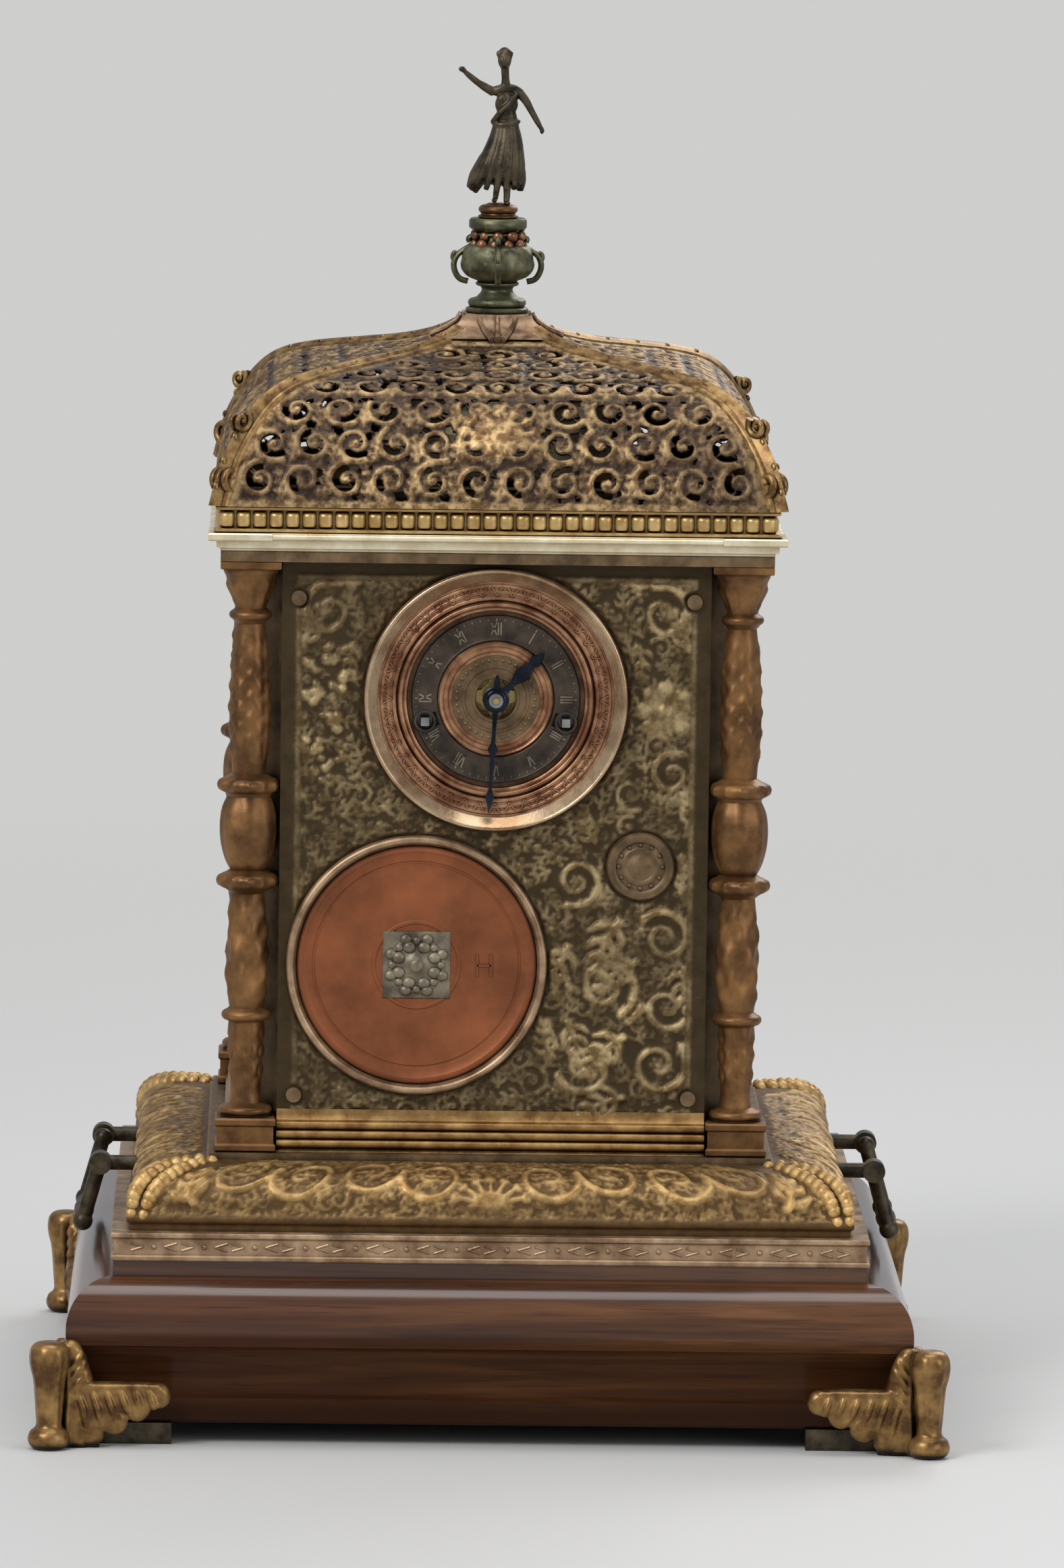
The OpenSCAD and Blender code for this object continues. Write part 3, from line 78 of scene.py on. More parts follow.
def make_camera():
    data = bpy.data.cameras.new("camera")
    data.sensor_width = SENSOR
    data.sensor_fit = "AUTO"
    data.lens = FOCAL_PX * SENSOR / IMAGE_H
    data.shift_x = (IMAGE_W / 2 - CENTRE_PX[0]) / IMAGE_H
    data.shift_y = (CENTRE_PX[1] - IMAGE_H / 2) / IMAGE_H
    data.clip_end = 60
    camera = bpy.data.objects.new("camera", data)
    bpy.context.scene.collection.objects.link(camera)
    place = Vector((CAMERA_AWAY * math.sin(-YAW), -CAMERA_AWAY * math.cos(YAW), CAMERA_UP)) * MM
    look = Vector((0, 0, AIM_UP)) * MM - place
    turn = look.to_track_quat("-Z", "Y").to_matrix().to_4x4()
    camera.matrix_world = Matrix.Translation(place) @ turn @ Matrix.Rotation(ROLL, 4, "Z")
    bpy.context.scene.camera = camera


# Node materials


class Nodes:
    """A short way to write a material's node tree."""

    def __init__(self, name):
        self.material = bpy.data.materials.new(name)
        self.material.use_nodes = True
        self.tree = self.material.node_tree
        self.shader = self.tree.nodes["Principled BSDF"]

    def add(self, kind, **settings):
        node = self.tree.nodes.new(kind)
        for key, value in settings.items():
            setattr(node, key, value)
        return node

    def link(self, out, into):
        self.tree.links.new(out, into)

    def coords(self):
        return self.add("ShaderNodeTexCoord").outputs["Object"]

    def attribute(self, name):
        return self.add("ShaderNodeAttribute", attribute_name=name).outputs

    def noise(self, scale, detail=4, rough=0.55, vector=None, distortion=0.0):
        node = self.add("ShaderNodeTexNoise")
        node.inputs["Scale"].default_value = scale
        node.inputs["Detail"].default_value = detail
        node.inputs["Roughness"].default_value = rough
        node.inputs["Distortion"].default_value = distortion
        self.link(vector or self.coords(), node.inputs["Vector"])
        return node.outputs["Fac"]

    def stretch(self, vector, scale):
        node = self.add("ShaderNodeMapping")
        node.inputs["Scale"].default_value = scale
        self.link(vector, node.inputs["Vector"])
        return node.outputs["Vector"]

    def ramp(self, value, stops):
        node = self.add("ShaderNodeValToRGB")
        elements = node.color_ramp.elements
        while len(elements) < len(stops):
            elements.new(0.5)
        for element, (at, colour) in zip(elements, stops):
            element.position = at
            grey = (colour,) * 3 if isinstance(colour, (int, float)) else colour
            element.color = (*grey, 1)
        self.link(value, node.inputs["Fac"])
        return node.outputs["Color"]

    def mix(self, factor, a, b):
        node = self.add("ShaderNodeMix", data_type="RGBA")
        for value, socket in ((factor, 0), (a, 6), (b, 7)):
            target = node.inputs[socket]
            if isinstance(value, bpy.types.NodeSocket):
                self.link(value, target)
            elif socket == 0:
                target.default_value = value
            else:
                target.default_value = (*value, 1)
        return node.outputs[2]

    def maths(self, operation, a, b=0.5):
        node = self.add("ShaderNodeMath", operation=operation)
        for value, socket in ((a, 0), (b, 1)):
            if isinstance(value, bpy.types.NodeSocket):
                self.link(value, node.inputs[socket])
            else:
                node.inputs[socket].default_value = value
        return node.outputs[0]

    def crevice(self, distance):
        """Near 0 in hollows and 1 on open faces."""
        node = self.add("ShaderNodeAmbientOcclusion", samples=6)
        node.inputs["Distance"].default_value = distance * MM
        return node.outputs["AO"]

    def bump(self, height, strength, distance):
        node = self.add("ShaderNodeBump")
        node.inputs["Strength"].default_value = strength
        node.inputs["Distance"].default_value = distance * MM
        self.link(height, node.inputs["Height"])
        self.link(node.outputs["Normal"], self.shader.inputs["Normal"])

    def colour(self, socket):
        self.link(socket, self.shader.inputs["Base Color"])

    def rough(self, socket):
        self.link(socket, self.shader.inputs["Roughness"])

    def set(self, **values):
        for key, value in values.items():
            self.shader.inputs[key.replace("_", " ")].default_value = value


FINE_GRAIN = 900


def metal(name, dark, mid, bright, metallic=0.75, rough=(0.34, 0.6), hollow=3.0, blotch=90,
          dirt=(0.35, 0.8)):
    """Worn cast metal: dark dirt in the hollows, blotchy patina and rubbed high places."""
    n = Nodes(name)
    patina = n.noise(blotch, 5, 0.6)
    fine = n.noise(FINE_GRAIN, 3, 0.6)
    colour = n.mix(n.ramp(patina, [(0.38, 0.0), (0.68, 1.0)]), mid, bright)
    open_face = n.crevice(hollow)
    shade = n.maths("MULTIPLY_ADD", fine, 0.16)
    shade.node.inputs[2].default_value = -0.08
    cleaned = n.ramp(n.maths("ADD", open_face, shade), [(dirt[0], 0.0), (dirt[1], 1.0)])
    n.colour(n.mix(cleaned, dark, colour))
    n.rough(n.ramp(patina, [(0.3, rough[0]), (0.75, rough[1])]))
    n.bump(fine, 0.25, 0.25)
    n.set(Metallic=metallic)
    return n.material


# Mesh helpers


def build_mesh(name, points, faces, material=None, smooth=True, fields=None):
    """A new object from points in millimetres; fields are values stored on the points."""
    mesh = bpy.data.meshes.new(name)
    points = np.asarray(points, dtype=float) * MM
    mesh.from_pydata(points.tolist(), [], [tuple(int(i) for i in f) for f in faces])
    for key, values in (fields or {}).items():
        layer = mesh.attributes.new(key, "FLOAT", "POINT")
        layer.data.foreach_set("value", np.asarray(values, dtype=np.float32).ravel())
    mesh.polygons.foreach_set("use_smooth", [smooth] * len(mesh.polygons))
    if material:
        mesh.materials.append(material)
    mesh.validate()
    mesh.update()
    piece = bpy.data.objects.new(name, mesh)
    bpy.context.scene.collection.objects.link(piece)
    return piece


def grid_faces(rows, columns, wrap=False, start=0):
    """Quads of a grid of points, stored row by row."""
    r = np.arange(rows - 1)[:, None]
    c = np.arange(columns if wrap else columns - 1)[None, :]
    after = (c + 1) % columns
    quads = np.stack([r * columns + c, r * columns + after,
                      (r + 1) * columns + after, (r + 1) * columns + c], axis=-1)
    return quads.reshape(-1, 4) + start


class Part:
    """Gathers several shapes into one mesh, with one value per point if wanted."""

    def __init__(self):
        self.points = []
        self.faces = []
        self.values = []
        self.count = 0

    def add(self, points, faces, value=0.0):
        points = np.asarray(points, dtype=float).reshape(-1, 3)
        self.points.append(points)
        self.faces.extend([tuple(int(i) + self.count for i in f) for f in faces])
        value = np.broadcast_to(np.asarray(value, dtype=float), (len(points),))
        self.values.append(value)
        self.count += len(points)

    def turned(self, matrix, other):
        """Adds another Part's shapes moved by a 4 by 4 matrix."""
        for points, value in zip(other.points, other.values):
            moved = points @ matrix[:3, :3].T + matrix[:3, 3]
            self.points.append(moved)
            self.values.append(value)
        flip = np.linalg.det(matrix[:3, :3]) < 0
        for face in other.faces:
            moved = tuple(i + self.count for i in face)
            self.faces.append(moved[::-1] if flip else moved)
        self.count += other.count

    def join(self, other):
        self.turned(np.eye(4), other)

    def build(self, name, material, sharp=None, smooth=True):
        piece = build_mesh(name, np.concatenate(self.points), self.faces, material, smooth,
                           {"tone": np.concatenate(self.values)})
        if sharp:
            piece.data.set_sharp_from_angle(angle=math.radians(sharp))
        return piece


def turn_z(angle):
    """A turn about the upright axis, in degrees."""
    c, s = cosd(angle), sind(angle)
    matrix = np.eye(4)
    matrix[:2, :2] = [[c, -s], [s, c]]
    return matrix


def shift(x, y, z):
    matrix = np.eye(4)
    matrix[:3, 3] = (x, y, z)
    return matrix


def scaling(x, y, z):
    return np.diag([x, y, z, 1.0])


# Local axes: x to the right, y up the plate, z out toward the front
FRONT = np.array([[1, 0, 0, 0], [0, 0, -1, 0], [0, 1, 0, 0], [0, 0, 0, 1.0]])


def front_at(x, y, z):
    return shift(x, y, z) @ FRONT


def rounded(outline, radius, steps=3):
    """A (radius, height) outline with its corners rounded."""
    points = [np.array(p, dtype=float) for p in outline]
    out = [points[0]]
    for before, at, after in zip(points, points[1:], points[2:]):
        a, b = before - at, after - at
        la, lb = np.linalg.norm(a), np.linalg.norm(b)
        if la < 1e-6 or lb < 1e-6:
            continue
        cut = min(radius, la * 0.45, lb * 0.45)
        p, q = at + a / la * cut, at + b / lb * cut
        for i in range(steps + 1):
            t = i / steps
            out.append(p * (1 - t) ** 2 + 2 * at * t * (1 - t) + q * t * t)
    out.append(points[-1])
    return out


def curve(points, steps):
    """A smooth line through (a, b) control points."""
    points = np.asarray(points, dtype=float)
    out = []
    padded = np.vstack([2 * points[0] - points[1], points, 2 * points[-1] - points[-2]])
    for i in range(1, len(padded) - 2):
        p0, p1, p2, p3 = padded[i - 1:i + 3]
        for t in np.linspace(0, 1, steps, endpoint=False):
            out.append(0.5 * (2 * p1 + (p2 - p0) * t + (2 * p0 - 5 * p1 + 4 * p2 - p3) * t ** 2
                              + (3 * p1 - p0 - 3 * p2 + p3) * t ** 3))
    out.append(points[-1])
    return [tuple(p) for p in out]


def quarter(cx, cy, rx, ry, a0, a1, steps=14):
    """Points along an elliptic arc between two angles in degrees."""
    return [(cx + rx * cosd(a), cy + ry * sind(a))
            for a in np.linspace(a0, a1, steps)]


def lathe(outline, around=64, wobble=None):
    """Points and faces of an outline turned about local z; wobble(angle, r, z) scales r."""
    outline = np.asarray(outline, dtype=float)
    angle = np.linspace(0, TAU, around, endpoint=False)
    r = outline[:, 0][:, None] * np.ones(around)[None, :]
    z = outline[:, 1][:, None] * np.ones(around)[None, :]
    if wobble:
        r = r * wobble(angle[None, :] + 0 * r, r, z)
    points = np.stack([r * np.cos(angle), r * np.sin(angle), z], axis=-1).reshape(-1, 3)
    return points, grid_faces(len(outline), around, wrap=True)


def four_sides(shape, start=0):
    """The shape on each of the four sides, or at the corners when start is 45."""
    part = Part()
    for k in range(4):
        part.turned(turn_z(start + 90 * k), shape)
    return part


def at_corners(part, shape, reach, z=0):
    """Adds the shape at the four corners of a square, all facing the same way."""
    for sx in (-1, 1):
        for sy in (-1, 1):
            part.turned(shift(sx * reach, sy * reach, z), shape)


def run_along(line):
    """How far along a line each of its points lies."""
    return np.concatenate([[0], np.cumsum(np.linalg.norm(np.diff(line, axis=0), axis=1))])


def square_sweep(outline):
    """Four mitred lengths of a (half width, height) outline; the value is the side's number."""
    outline = np.asarray(outline, dtype=float)
    half = outline[:, 0][:, None]
    x = half * np.array([-1.0, 1.0])
    points = np.stack([x, -half + 0 * x, outline[:, 1][:, None] + 0 * x], axis=-1)
    part = Part()
    for side in range(4):
        shape = Part()
        shape.add(points, grid_faces(len(outline), 2)[:, ::-1], side)
        part.turned(turn_z(90 * side), shape)
    return part


def tube(path, radius, around=8, flat=1.0):
    """A round bar along a path; radius is one value or one per point."""
    path = np.asarray(path, dtype=float)
    radius = np.broadcast_to(np.asarray(radius, dtype=float), (len(path),))
    tangent = np.gradient(path, axis=0)
    tangent /= np.linalg.norm(tangent, axis=1)[:, None] + 1e-9
    guide = np.array([0.0, 0.0, 1.0]) if abs(tangent[0][2]) < 0.9 else np.array([0.0, 1.0, 0.0])
    rows = []
    for at, along, r in zip(path, tangent, radius):
        side = np.cross(along, guide)
        side /= np.linalg.norm(side) + 1e-9
        guide = np.cross(side, along)
        angle = np.linspace(0, TAU, around, endpoint=False)[:, None]
        rows.append(at + r * (np.cos(angle) * side + flat * np.sin(angle) * guide))
    count = len(path)
    points = np.concatenate(rows + [path[:1], path[-1:]])
    faces = grid_faces(count, around, wrap=True).tolist()
    for i in range(around):
        j = (i + 1) % around
        faces.append((j, i, count * around))
        faces.append(((count - 1) * around + i, (count - 1) * around + j, count * around + 1))
    return points, faces


def ball(at, radii, rings=10, around=14):
    """An ellipsoid with three half axes."""
    angle = np.linspace(0, math.pi, rings + 1)
    outline = np.stack([np.sin(angle), -np.cos(angle)], axis=-1)
    points, faces = lathe(outline, around)
    return points * np.asarray(radii) + np.asarray(at), faces


def melt(piece, voxel, smooth=2):
    """Fuses overlapping shapes of a piece into one skin."""
    remesh = piece.modifiers.new("fuse", "REMESH")
    remesh.mode = "VOXEL"
    remesh.voxel_size = voxel * MM
    soften = piece.modifiers.new("soften", "SMOOTH")
    soften.factor = 0.5
    soften.iterations = smooth
    graph = bpy.context.evaluated_depsgraph_get()
    mesh = bpy.data.meshes.new_from_object(piece.evaluated_get(graph))
    old = piece.data
    piece.modifiers.clear()
    piece.data = mesh
    mesh.name = piece.name
    bpy.data.meshes.remove(old)
    mesh.polygons.foreach_set("use_smooth", [True] * len(mesh.polygons))
    return piece


def turned_copy(piece, name, angle):
    """A second piece like the first, turned about the clock's middle line."""
    other = piece.copy()
    other.data = piece.data.copy()
    other.name = other.data.name = name
    bpy.context.scene.collection.objects.link(other)
    other.data.transform(Matrix.Rotation(angle, 4, "Z"))
    return other


# Relief: heights stamped on a grid as strokes of round tools


class Relief:
    """A grid over a flat pattern; height in mm, edge = how far a point lies inside the shapes."""

    def __init__(self, x0, x1, y0, y1, step):
        self.x = np.linspace(x0, x1, int(round((x1 - x0) / step)) + 1)
        self.y = np.linspace(y0, y1, int(round((y1 - y0) / step)) + 1)
        self.height = np.zeros((len(self.y), len(self.x)))
        self.edge = np.full_like(self.height, -9.0)

    def stamp(self, cx, cy, r, rise=1.0):
        """One round tool mark: a dome of radius r whose top is rise * r high."""
        reach = r + 2.5
        i0, i1 = np.searchsorted(self.x, (cx - reach, cx + reach))
        j0, j1 = np.searchsorted(self.y, (cy - reach, cy + reach))
        if i0 >= i1 or j0 >= j1:
            return
        d = np.hypot(self.x[None, i0:i1] - cx, self.y[j0:j1, None] - cy)
        bulge = np.sqrt(np.clip(r * r - d * d, 0, None))
        area = self.height[j0:j1, i0:i1]
        np.maximum(area, rise * bulge, out=area)
        area = self.edge[j0:j1, i0:i1]
        np.maximum(area, r - d, out=area)

    def stroke(self, points, r0, r1, rise=1.0, belly=0.0):
        """Marks along a path, from radius r0 to r1, thicker by belly in the middle."""
        points = np.asarray(points, dtype=float)
        run = run_along(points)
        total = run[-1]
        if total < 1e-6:
            return
        pace = max(0.55, min(r0, r1, 1.2) * 0.6)
        for s in np.arange(0, total + pace, pace):
            s = min(s, total)
            t = s / total
            cx = np.interp(s, run, points[:, 0])
            cy = np.interp(s, run, points[:, 1])
            self.stamp(cx, cy, r0 + (r1 - r0) * t + belly * math.sin(math.pi * t), rise)

    def leaf(self, x, y, angle, length, curl=0.0, lobes=4, width=0.5, rise=0.9):
        """An acanthus leaf: a curling midrib with lobes that shrink towards the tip."""
        path = []
        a = math.radians(angle)
        px, py = x, y
        bend = math.radians(curl) / 12
        for i in range(13):
            path.append((px, py, a))
            px += length / 12 * math.cos(a)
            py += length / 12 * math.sin(a)
            a += bend
        spine = [(p[0], p[1]) for p in path]
        self.stroke(spine, length * 0.085, length * 0.04, rise * 1.15)
        for k in range(lobes):
            t = (k + 0.35) / lobes
            px, py, a = path[int(t * 12)]
            size = length * width * (1 - 0.62 * t)
            for side in (-1, 1):
                b = a + side * math.radians(58 - 18 * t)
                tip = b - side * math.radians(30)
                mid = (px + size * 0.55 * math.cos(b), py + size * 0.55 * math.sin(b))
                end = (mid[0] + size * 0.5 * math.cos(tip), mid[1] + size * 0.5 * math.sin(tip))
                self.stroke([(px, py), mid, end], length * 0.06, length * 0.035, rise,
                            belly=length * 0.035)

    def scroll(self, x, y, r, start, hand=1, turns=1.5, thick=None, leaves=4, rise=0.9,
               heart="rosette"):
        """A stem curling inward to a flower, with leaves growing outward from it."""
        thick = thick or r * 0.13
        path = []
        for i in range(60):
            t = i / 59
            a = math.radians(start) + hand * TAU * turns * t
            q = r * (1 - 0.80 * t)
            path.append((x + q * math.cos(a), y + q * math.sin(a)))
        self.stroke(path, thick * 1.25, thick * 0.8, rise)
        for k in range(leaves):
            i = int(3 + 46 * k / max(1, leaves))
            px, py = path[i]
            qx, qy = path[i + 1]
            along = math.degrees(math.atan2(qy - py, qx - px))
            size = r * (0.62 - 0.3 * k / max(1, leaves))
            self.leaf(px, py, along - hand * 42, size, curl=hand * 70, lobes=3, rise=rise)
            if k % 2 == 0:
                self.leaf(px, py, along + hand * 48, size * 0.5, curl=-hand * 60, lobes=2, rise=rise)
        if heart == "rosette":
            self.rosette(x, y, r * 0.3, 6, rise)
        else:
            self.stamp(x, y, r * 0.2, rise)

    def rosette(self, x, y, r, petals=6, rise=0.8, turn=0):
        for k in range(petals):
            a = math.radians(turn) + TAU * k / petals
            self.stroke([(x + r * 0.35 * math.cos(a), y + r * 0.35 * math.sin(a)),
                         (x + r * 0.72 * math.cos(a), y + r * 0.72 * math.sin(a))],
                        r * 0.2, r * 0.3, rise * 0.8)
        self.stamp(x, y, r * 0.3, rise * 1.3)

    def fruit(self, x, y, r, count, rise=0.8, seed=1):
        """A cluster of round fruit."""
        place = np.random.default_rng(seed)
        for _ in range(count):
            a = place.uniform(0, TAU)
            q = r * math.sqrt(place.uniform(0, 1))
            self.stamp(x + q * math.cos(a), y + q * math.sin(a), r * place.uniform(0.26, 0.42), rise)

    def swag(self, x0, y0, x1, y1, drop, r, rise=0.8):
        """A hanging garland between two points."""
        t = np.linspace(0, 1, 26)
        px = x0 + (x1 - x0) * t
        py = y0 + (y1 - y0) * t - drop * 4 * t * (1 - t)
        for i, (cx, cy) in enumerate(zip(px, py)):
            swell = r * (0.55 + 0.65 * math.sin(math.pi * t[i]))
            self.stamp(cx, cy + (0.35 * swell if i % 2 else -0.35 * swell), swell * 0.72, rise)

    def fill(self, size, seed, rise=0.7, crowd=0.3):
        """Small leaves, buds and curls on the ground left between the larger shapes."""
        place = np.random.default_rng(seed)
        step = size * 0.6
        spots = [(x, y) for y in np.arange(self.y[0] + step / 2, self.y[-1], step)
                 for x in np.arange(self.x[0] + step / 2, self.x[-1], step)]
        place.shuffle(spots)
        for x, y in spots:
            x += place.uniform(-0.3, 0.3) * step
            y += place.uniform(-0.3, 0.3) * step
            i0, i1 = np.searchsorted(self.x, (x - size * 0.32, x + size * 0.32))
            j0, j1 = np.searchsorted(self.y, (y - size * 0.32, y + size * 0.32))
            patch = self.height[j0:j1, i0:i1]
            if patch.size == 0 or np.mean(patch > 0.2) > crowd:
                continue
            angle = 90 + 100 * math.sin(0.06 * x + 0.8) * math.cos(0.05 * y) + place.uniform(-50, 50)
            kind = place.integers(0, 6)
            hand = 1 if place.uniform() > 0.5 else -1
            if kind == 0:
                self.rosette(x, y, size * 0.34, 5, rise)
            elif kind == 1:
                self.scroll(x, y, size * 0.42, angle, hand, 1.1, size * 0.075, 2, rise, "bud")
            else:
                back = size * 0.4
                a = math.radians(angle)
                self.leaf(x - back * math.cos(a), y - back * math.sin(a), angle, size,
                          hand * place.uniform(15, 60), 3, 0.5, rise)

    def roughen(self, amount, seed=3):
        """Uneven hand work: low frequency swelling and fine tool marks."""
        rng = np.random.default_rng(seed)
        rough = rng.standard_normal(self.height.shape)
        for _ in range(2):
            rough = (rough + np.roll(rough, 1, 0) + np.roll(rough, 1, 1) + np.roll(rough, -1, 0)
                     + np.roll(rough, -1, 1)) / 5
        self.height += amount * rough

    def soften(self, times=1):
        h = self.height
        for _ in range(times):
            padded = np.pad(h, 1, mode="edge")
            h = (4 * h + padded[:-2, 1:-1] + padded[2:, 1:-1] + padded[1:-1, :-2]
                 + padded[1:-1, 2:]) / 8
        self.height = h

    def plate(self, name, material, place, body_depth=2.0, keep=None):
        """The pattern as a plate: place(x, y, height) gives the points in millimetres."""
        gx, gy = np.meshgrid(self.x, self.y)
        gx, gy = gx.copy(), gy.copy()
        height = self.height
        rows, columns = height.shape
        if keep is not None:
            # Cells inside the outline stay, and points just outside are drawn onto it
            inside = keep > 0
            ky, kx = np.gradient(keep, self.y, self.x)
            size = kx * kx + ky * ky + 1e-6
            near = np.zeros_like(inside)
            for down in (-1, 0, 1):
                for across in (-1, 0, 1):
                    near |= np.roll(inside, (down, across), (0, 1))
            moved = near & ~inside
            limit = 1.2 * (self.x[1] - self.x[0])
            dx = np.clip(-keep * kx / size, -limit, limit)
            dy = np.clip(-keep * ky / size, -limit, limit)
            gx[moved] += dx[moved]
            gy[moved] += dy[moved]
            usable = inside | moved
            cell = (usable[:-1, :-1] & usable[:-1, 1:] & usable[1:, :-1] & usable[1:, 1:])
            held = (inside[:-1, :-1] | inside[:-1, 1:] | inside[1:, :-1] | inside[1:, 1:])
            cell &= held
        else:
            cell = np.ones((rows - 1, columns - 1), dtype=bool)
        index = np.arange(rows * columns).reshape(rows, columns)
        quads = np.stack([index[:-1, :-1], index[:-1, 1:], index[1:, 1:], index[1:, :-1]], -1)[cell]
        top = place(gx, gy, height).reshape(-1, 3)
        back = place(gx, gy, np.full_like(height, -body_depth)).reshape(-1, 3)
        total = rows * columns
        edges = {}
        for a, b in ((0, 1), (1, 2), (2, 3), (3, 0)):
            for p, q in zip(quads[:, a], quads[:, b]):
                if edges.pop((q, p), None) is None:
                    edges[(p, q)] = True
        walls = [(q, p, p + total, q + total) for p, q in edges]
        used = np.unique(quads)
        remap = np.full(2 * total, -1)
        remap[used] = np.arange(len(used))
        remap[used + total] = np.arange(len(used)) + len(used)
        faces = remap[quads].tolist()
        faces += remap[quads[:, ::-1] + total].tolist()
        faces += [tuple(remap[list(w)]) for w in walls]
        points = np.concatenate([top[used], back[used]])
        tone = np.concatenate([height.reshape(-1)[used], np.zeros(len(used))])
        piece = build_mesh(name, points, faces, material, True, {"tone": tone})
        piece.data.set_sharp_from_angle(angle=math.radians(55))
        return piece


# Levels and places of the clock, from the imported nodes

RAIL_LOW, RAIL_HIGH = node_box("plinth_rails")
FILLET_LOW, FILLET_HIGH = node_box("brass_fillet")
SKIRT_LOW, SKIRT_HIGH = node_box("base_skirt")
FLOOR_HIGH = node_box("case_floor")[1]
COLUMN_HIGH = node_box("corner_columns")[1]
CORNICE_LOW, CORNICE_HIGH = node_box("cornice")
BAND_LOW, BAND_HIGH = node_box("gadroon_band")
URN_LOW = node_box("finial_urn")[0]
FIGURE_LOW, FIGURE_HIGH = node_box("finial_figure")
DIAL_LOW, DIAL_HIGH = node_box("upper_dial_ring")
DISC_LOW, DISC_HIGH = node_box("lower_dial_rim")
WOOD_Z = RAIL_LOW[2]
WOOD_HALF = RAIL_HIGH[0]
RAIL_TOP = RAIL_HIGH[2]
SKIRT_Z = SKIRT_LOW[2]
LEDGE_Z = SKIRT_HIGH[2]
CASE_Z = FLOOR_HIGH[2]
ROOF_Z = COLUMN_HIGH[2]
CORNICE_Z = CORNICE_LOW[2]
BAND_Z = BAND_LOW[2]
DOME_Z = BAND_HIGH[2]
CROWN_Z = URN_LOW[2] + 7
KNOB_Z = FIGURE_LOW[2]
WOOD_TALL = 60
COLUMN_AT = 97
PANEL_AT = 99
PANEL_HALF = 84.6
MEDALLION_X, MEDALLION_Y = 58, 114.4
SCREW_X, SCREW_LOW, SCREW_HIGH = 78, 22, 15
HOLE_X, HOLE_DROP = 27.8, 9.1
HOLES = ((HOLE_X, -HOLE_DROP), (-HOLE_X, -HOLE_DROP))
DIAL_Z = (DIAL_LOW[2] + DIAL_HIGH[2]) / 2
DIAL_R = DIAL_HIGH[0]
DISC_X = (DISC_LOW[0] + DISC_HIGH[0]) / 2
DISC_Z = (DISC_LOW[2] + DISC_HIGH[2]) / 2
DISC_R = (DISC_HIGH[0] - DISC_LOW[0]) / 2


# Materials


def wood_material():
    n = Nodes("polished_wood")
    along = n.attribute("tone")["Fac"]
    base = n.coords()
    turned = n.add("ShaderNodeVectorRotate", rotation_type="Z_AXIS")
    angle = n.maths("MULTIPLY", along, -math.pi / 2)
    n.link(base, turned.inputs["Vector"])
    n.link(angle, turned.inputs["Angle"])
    rail = turned.outputs["Vector"]
    grain = n.noise(120, 6, 0.62, n.stretch(rail, (0.045, 1, 1)), 0.6)
    pores = n.noise(900, 2, 0.5, n.stretch(rail, (0.03, 1, 1)))
    cloud = n.noise(11, 3, 0.5, n.stretch(rail, (0.4, 1, 1)))
    colour = n.ramp(grain, [(0.30, (0.030, 0.011, 0.004)), (0.48, (0.080, 0.031, 0.010)),
                            (0.62, (0.145, 0.060, 0.020)), (0.8, (0.24, 0.115, 0.042))])
    colour = n.mix(n.ramp(cloud, [(0.35, 0.45), (0.65, 0.0)]), colour, (0.05, 0.016, 0.012))
    colour = n.mix(n.ramp(pores, [(0.30, 0.6), (0.42, 0.0)]), colour, (0.03, 0.010, 0.006))
    # Darker towards the bottom: near black on the lowest band, and painted shade over the lower cove,
    # which lies in shadow.
    height = n.add("ShaderNodeSeparateXYZ")
    n.link(base, height.inputs[0])
    level = n.maths("DIVIDE", height.outputs["Z"], (WOOD_Z + WOOD_TALL) * MM)
    colour = n.mix(n.ramp(level, [(0.20, 0.95), (0.30, 0.60), (0.62, 0.42), (0.70, 0.0)]), colour,
                   (0.022, 0.007, 0.002))
    # Painted shade: the wood's colour darkens in hollows by ambient occlusion over 9 mm.
    hollow_painted_shade = n.ramp(n.crevice(9), [(0.25, 0.0), (0.75, 1.0)])
    n.colour(n.mix(hollow_painted_shade, (0.018, 0.009, 0.007), colour))
    n.rough(n.ramp(cloud, [(0.3, 0.17), (0.7, 0.30)]))
    n.bump(pores, 0.05, 0.2)
    n.set(Coat_Roughness=0.12)
    for name, low, high in (("Coat Weight", 0.06, 0.5), ("Specular IOR Level", 0.06, 0.3)):
        n.link(n.ramp(level, [(0.62, low), (0.70, high)]), n.shader.inputs[name])
    return n.material


def relief_material(name, ground, dark, mid, bright, lift=1.0, metallic=0.6, blotch=130):
    """Cast relief rubbed bright over a patinated ground; tone is the height in mm."""
    n = Nodes(name)
    height = n.attribute("tone")["Fac"]
    patina = n.noise(blotch, 5, 0.62)
    fine = n.noise(700, 3, 0.6)
    wide = n.noise(22, 3, 0.5)
    cast = n.mix(n.ramp(patina, [(0.42, 0.0), (0.60, 1.0)]), mid, bright)
    cast = n.mix(n.ramp(wide, [(0.42, 0.0), (0.62, 0.55)]), cast, dark)
    worn = n.maths("MULTIPLY_ADD", fine, 0.5 * lift)
    n.link(height, worn.node.inputs[2])
    rubbed = n.ramp(n.maths("DIVIDE", worn, 2.6 * lift), [(0.14, 0.0), (0.42, 0.5), (0.85, 1.0)])
    floor_tone = n.mix(n.ramp(patina, [(0.35, 0.0), (0.7, 0.5)]), ground, dark)
    colour = n.mix(rubbed, floor_tone, cast)
    open_face = n.ramp(n.crevice(2.2), [(0.25, 0.0), (0.72, 1.0)])
    n.colour(n.mix(open_face, tuple(c * 0.3 for c in ground), colour))
    n.rough(n.ramp(patina, [(0.3, 0.38), (0.75, 0.62)]))
    n.bump(fine, 0.22, 0.25)
    n.set(Metallic=metallic)
    return n.material


